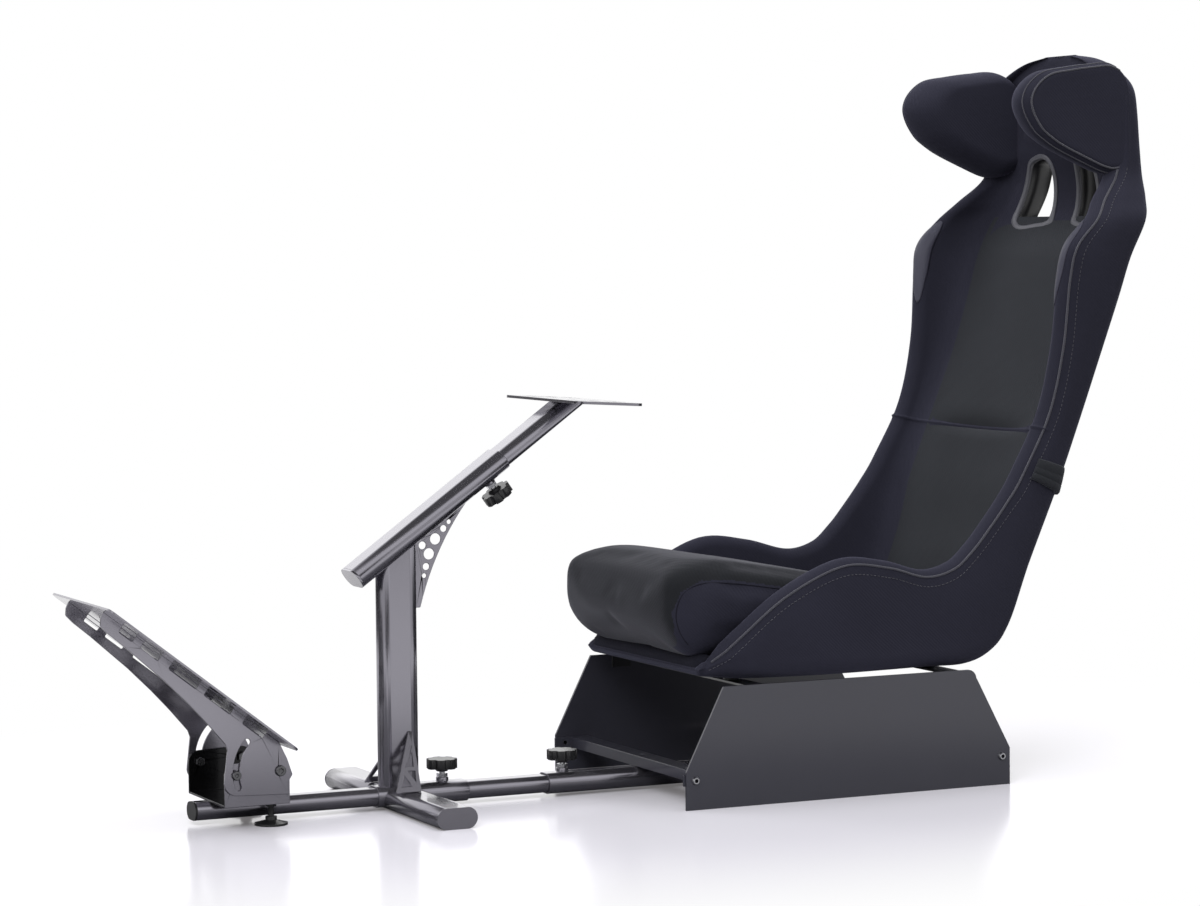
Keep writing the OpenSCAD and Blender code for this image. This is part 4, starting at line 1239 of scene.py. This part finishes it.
# Lamps: name, place, the point that it looks at, width and power
LAMPS = (("key_lamp", (3.4, -2.6, 3.6), (0, 0.3, 0.4), 2.6, 150),
         ("fill_lamp", (-3.6, -2.2, 2.6), (0, 0.3, 0.4), 3.0, 60),
         ("top_lamp", (0.4, 0.6, 4.2), (0, 0.4, 0.3), 3.2, 90))
WHITE = (1, 1, 1)
# Floor: its own colour, the darker one that gloss sees, and a glow that only the camera sees
FLOOR_TONE, FLOOR_MIRRORED, FLOOR_GLOW = (0.74, 0.73, 0.8), (0.1, 0.1, 0.11), (0.12, 0.115, 0.115)
# Scale and shift of the oval in which the floor fades to white, and the share of its reach where it begins
FLOOR_OVAL, FADE_FROM = ((1, 0.6, 1), (0, -0.21, 0)), 0.4
# Strengths of the world: for plain light, and for gloss at its darkest, in the cards, over the wall's own
# and, as a share taken away, straight above
PLAIN_LIGHT, GLOSS_LIGHT, CARD_LIGHT, WALL_EXTRA, CEILING_DIM = 0.55, 0.03, 0.65, 0.6, 0.95


class COCKPIT_OT_stage(bpy.types.Operator):
    """Sets up the floor, the backdrop, the lamps and the camera"""
    bl_idname = "cockpit.stage"
    bl_label = "Studio"

    def execute(self, context):
        stage = context.scene.cockpit_stage
        self.make_floor(stage)
        self.make_world(context.scene, stage.turn)
        for name, place, aim, size, power in LAMPS:
            self.make_lamp(context.scene, name, Vector(place), Vector(aim), size, power)
        self.make_camera(context.scene, stage)
        context.scene.view_settings.view_transform = "Standard"
        return {"FINISHED"}

    def make_floor(self, stage):
        w = stage.floor / 2
        corners = [(-w, -w, 0), (w, -w, 0), (w, w, 0), (-w, w, 0)]
        data = mesh_from("floor", corners, [(0, 1, 2, 3)], smooth=False)
        s = Shader("studio_floor")
        oval = s.vector("MULTIPLY_ADD", s.place(), *FLOOR_OVAL, output="Vector")
        far = s.step(s.vector("LENGTH", oval), stage.fade * FADE_FROM, stage.fade)
        white = s.add("ShaderNodeEmission", values={"Color": WHITE, "Strength": s.ray("Camera", "Glossy")})
        s.finish(
            Base_Color=s.mix(s.ray("Glossy"), FLOOR_TONE, FLOOR_MIRRORED),
            Roughness=0.16,
            Emission_Color=s.mix(s.ray("Camera"), (0, 0, 0), FLOOR_GLOW),
            Emission_Strength=1.0,
        )
        near = Wire(s, s.surface.outputs[0])
        both = s.add("ShaderNodeMixShader", values={0: far, 1: near, 2: white})
        s.feed(s.tree.nodes["Material Output"].inputs["Surface"], both)
        data.materials.append(s.material)
        link_object("studio_floor", data)

    def make_world(self, scene, turn):
        """White to the camera; gloss sees a bright back wall, two side cards and a band over the horizon."""
        s = Shader("studio", "worlds", "Background")
        scene.world = s.material
        ray = s.add("ShaderNodeTexCoord", output="Generated")
        height = s.split(ray, "Z")
        toward = s.vector("DOT_PRODUCT", ray, (math.sin(turn), -math.cos(turn), 0))
        right = s.vector("DOT_PRODUCT", ray, (math.cos(turn), math.sin(turn), 0))
        wall = s.step(toward, -0.6, -0.9)
        cards = s.step(toward, 0.2, 0.5) * s.step(right.math("ABSOLUTE", right), 0.2, 0.45) * CARD_LIGHT
        band = s.step(height, 0.1, 0.3)
        lit = band.math("MAXIMUM", wall * (band * WALL_EXTRA + 1), band.math("MAXIMUM", band, cards))
        ceiling = 1 - CEILING_DIM * s.step(height, 0.6, 0.8)
        gloss = s.ray("Glossy") * (lit * ceiling + GLOSS_LIGHT - PLAIN_LIGHT)
        strength = PLAIN_LIGHT + gloss + s.ray("Camera", "Transmission") * (1 - PLAIN_LIGHT)
        s.finish(Color=WHITE, Strength=strength)

    def make_lamp(self, scene, name, place, aim, size, power):
        lamp = bpy.data.lights.new(name, "AREA")
        lamp.shape = "DISK"
        lamp.size = size
        lamp.energy = power
        piece = bpy.data.objects.new(name, lamp)
        piece.location = place
        piece.rotation_euler = (aim - place).to_track_quat("-Z", "Y").to_euler()
        piece.visible_glossy = False
        scene.collection.objects.link(piece)

    def make_camera(self, scene, stage):
        a, p, r = stage.turn, stage.pitch, stage.roll
        right = Vector((math.cos(a), math.sin(a), 0))
        up = Vector((-math.sin(a) * math.sin(p), math.cos(a) * math.sin(p), math.cos(p)))
        ahead = Vector((-math.sin(a) * math.cos(p), math.cos(a) * math.cos(p), -math.sin(p)))
        right, up = right * math.cos(r) + up * math.sin(r), up * math.cos(r) - right * math.sin(r)
        camera = bpy.data.cameras.new("studio_camera")
        camera.lens = stage.lens
        camera.sensor_width = 36
        camera.clip_end = 50
        piece = bpy.data.objects.new("studio_camera", camera)
        turn = Matrix((right, up, -ahead)).transposed().to_4x4()
        piece.matrix_world = Matrix.Translation(Vector(stage.place)) @ turn
        scene.collection.objects.link(piece)
        scene.camera = piece


class COCKPIT_PT_panel(bpy.types.Panel):
    """Buttons that build the cockpit's finishes one by one"""
    bl_idname = "COCKPIT_PT_panel"
    bl_label = "Cockpit"
    bl_space_type = "VIEW_3D"
    bl_region_type = "UI"
    bl_category = "Cockpit"

    def draw(self, context):
        for name in ("cockpit_paint", "cockpit_fabric", "cockpit_stage"):
            group = getattr(context.scene, name)
            for key in group.bl_rna.properties.keys():
                if key not in ("rna_type", "name"):
                    self.layout.prop(group, key)
        for step in STEPS:
            self.layout.operator(step.bl_idname)


GROUPS = {"cockpit_paint": CockpitPaint, "cockpit_fabric": CockpitFabric, "cockpit_stage": CockpitStage}
STEPS = (COCKPIT_OT_stage, COCKPIT_OT_metal, COCKPIT_OT_shell, COCKPIT_OT_slots, COCKPIT_OT_back_pads,
         COCKPIT_OT_wings, COCKPIT_OT_cushion, COCKPIT_OT_lip, COCKPIT_OT_patches,
         COCKPIT_OT_trims)


def register():
    for name, group in GROUPS.items():
        bpy.utils.register_class(group)
        setattr(bpy.types.Scene, name, PointerProperty(type=group))
    for item in (*STEPS, COCKPIT_PT_panel):
        bpy.utils.register_class(item)


def unregister():
    for item in (COCKPIT_PT_panel, *reversed(STEPS)):
        bpy.utils.unregister_class(item)
    for name, group in GROUPS.items():
        delattr(bpy.types.Scene, name)
        bpy.utils.unregister_class(group)


def main():
    register()
    for step in STEPS:
        group, name = step.bl_idname.split(".")
        getattr(getattr(bpy.ops, group), name)()


if __name__ == "__main__":
    main()
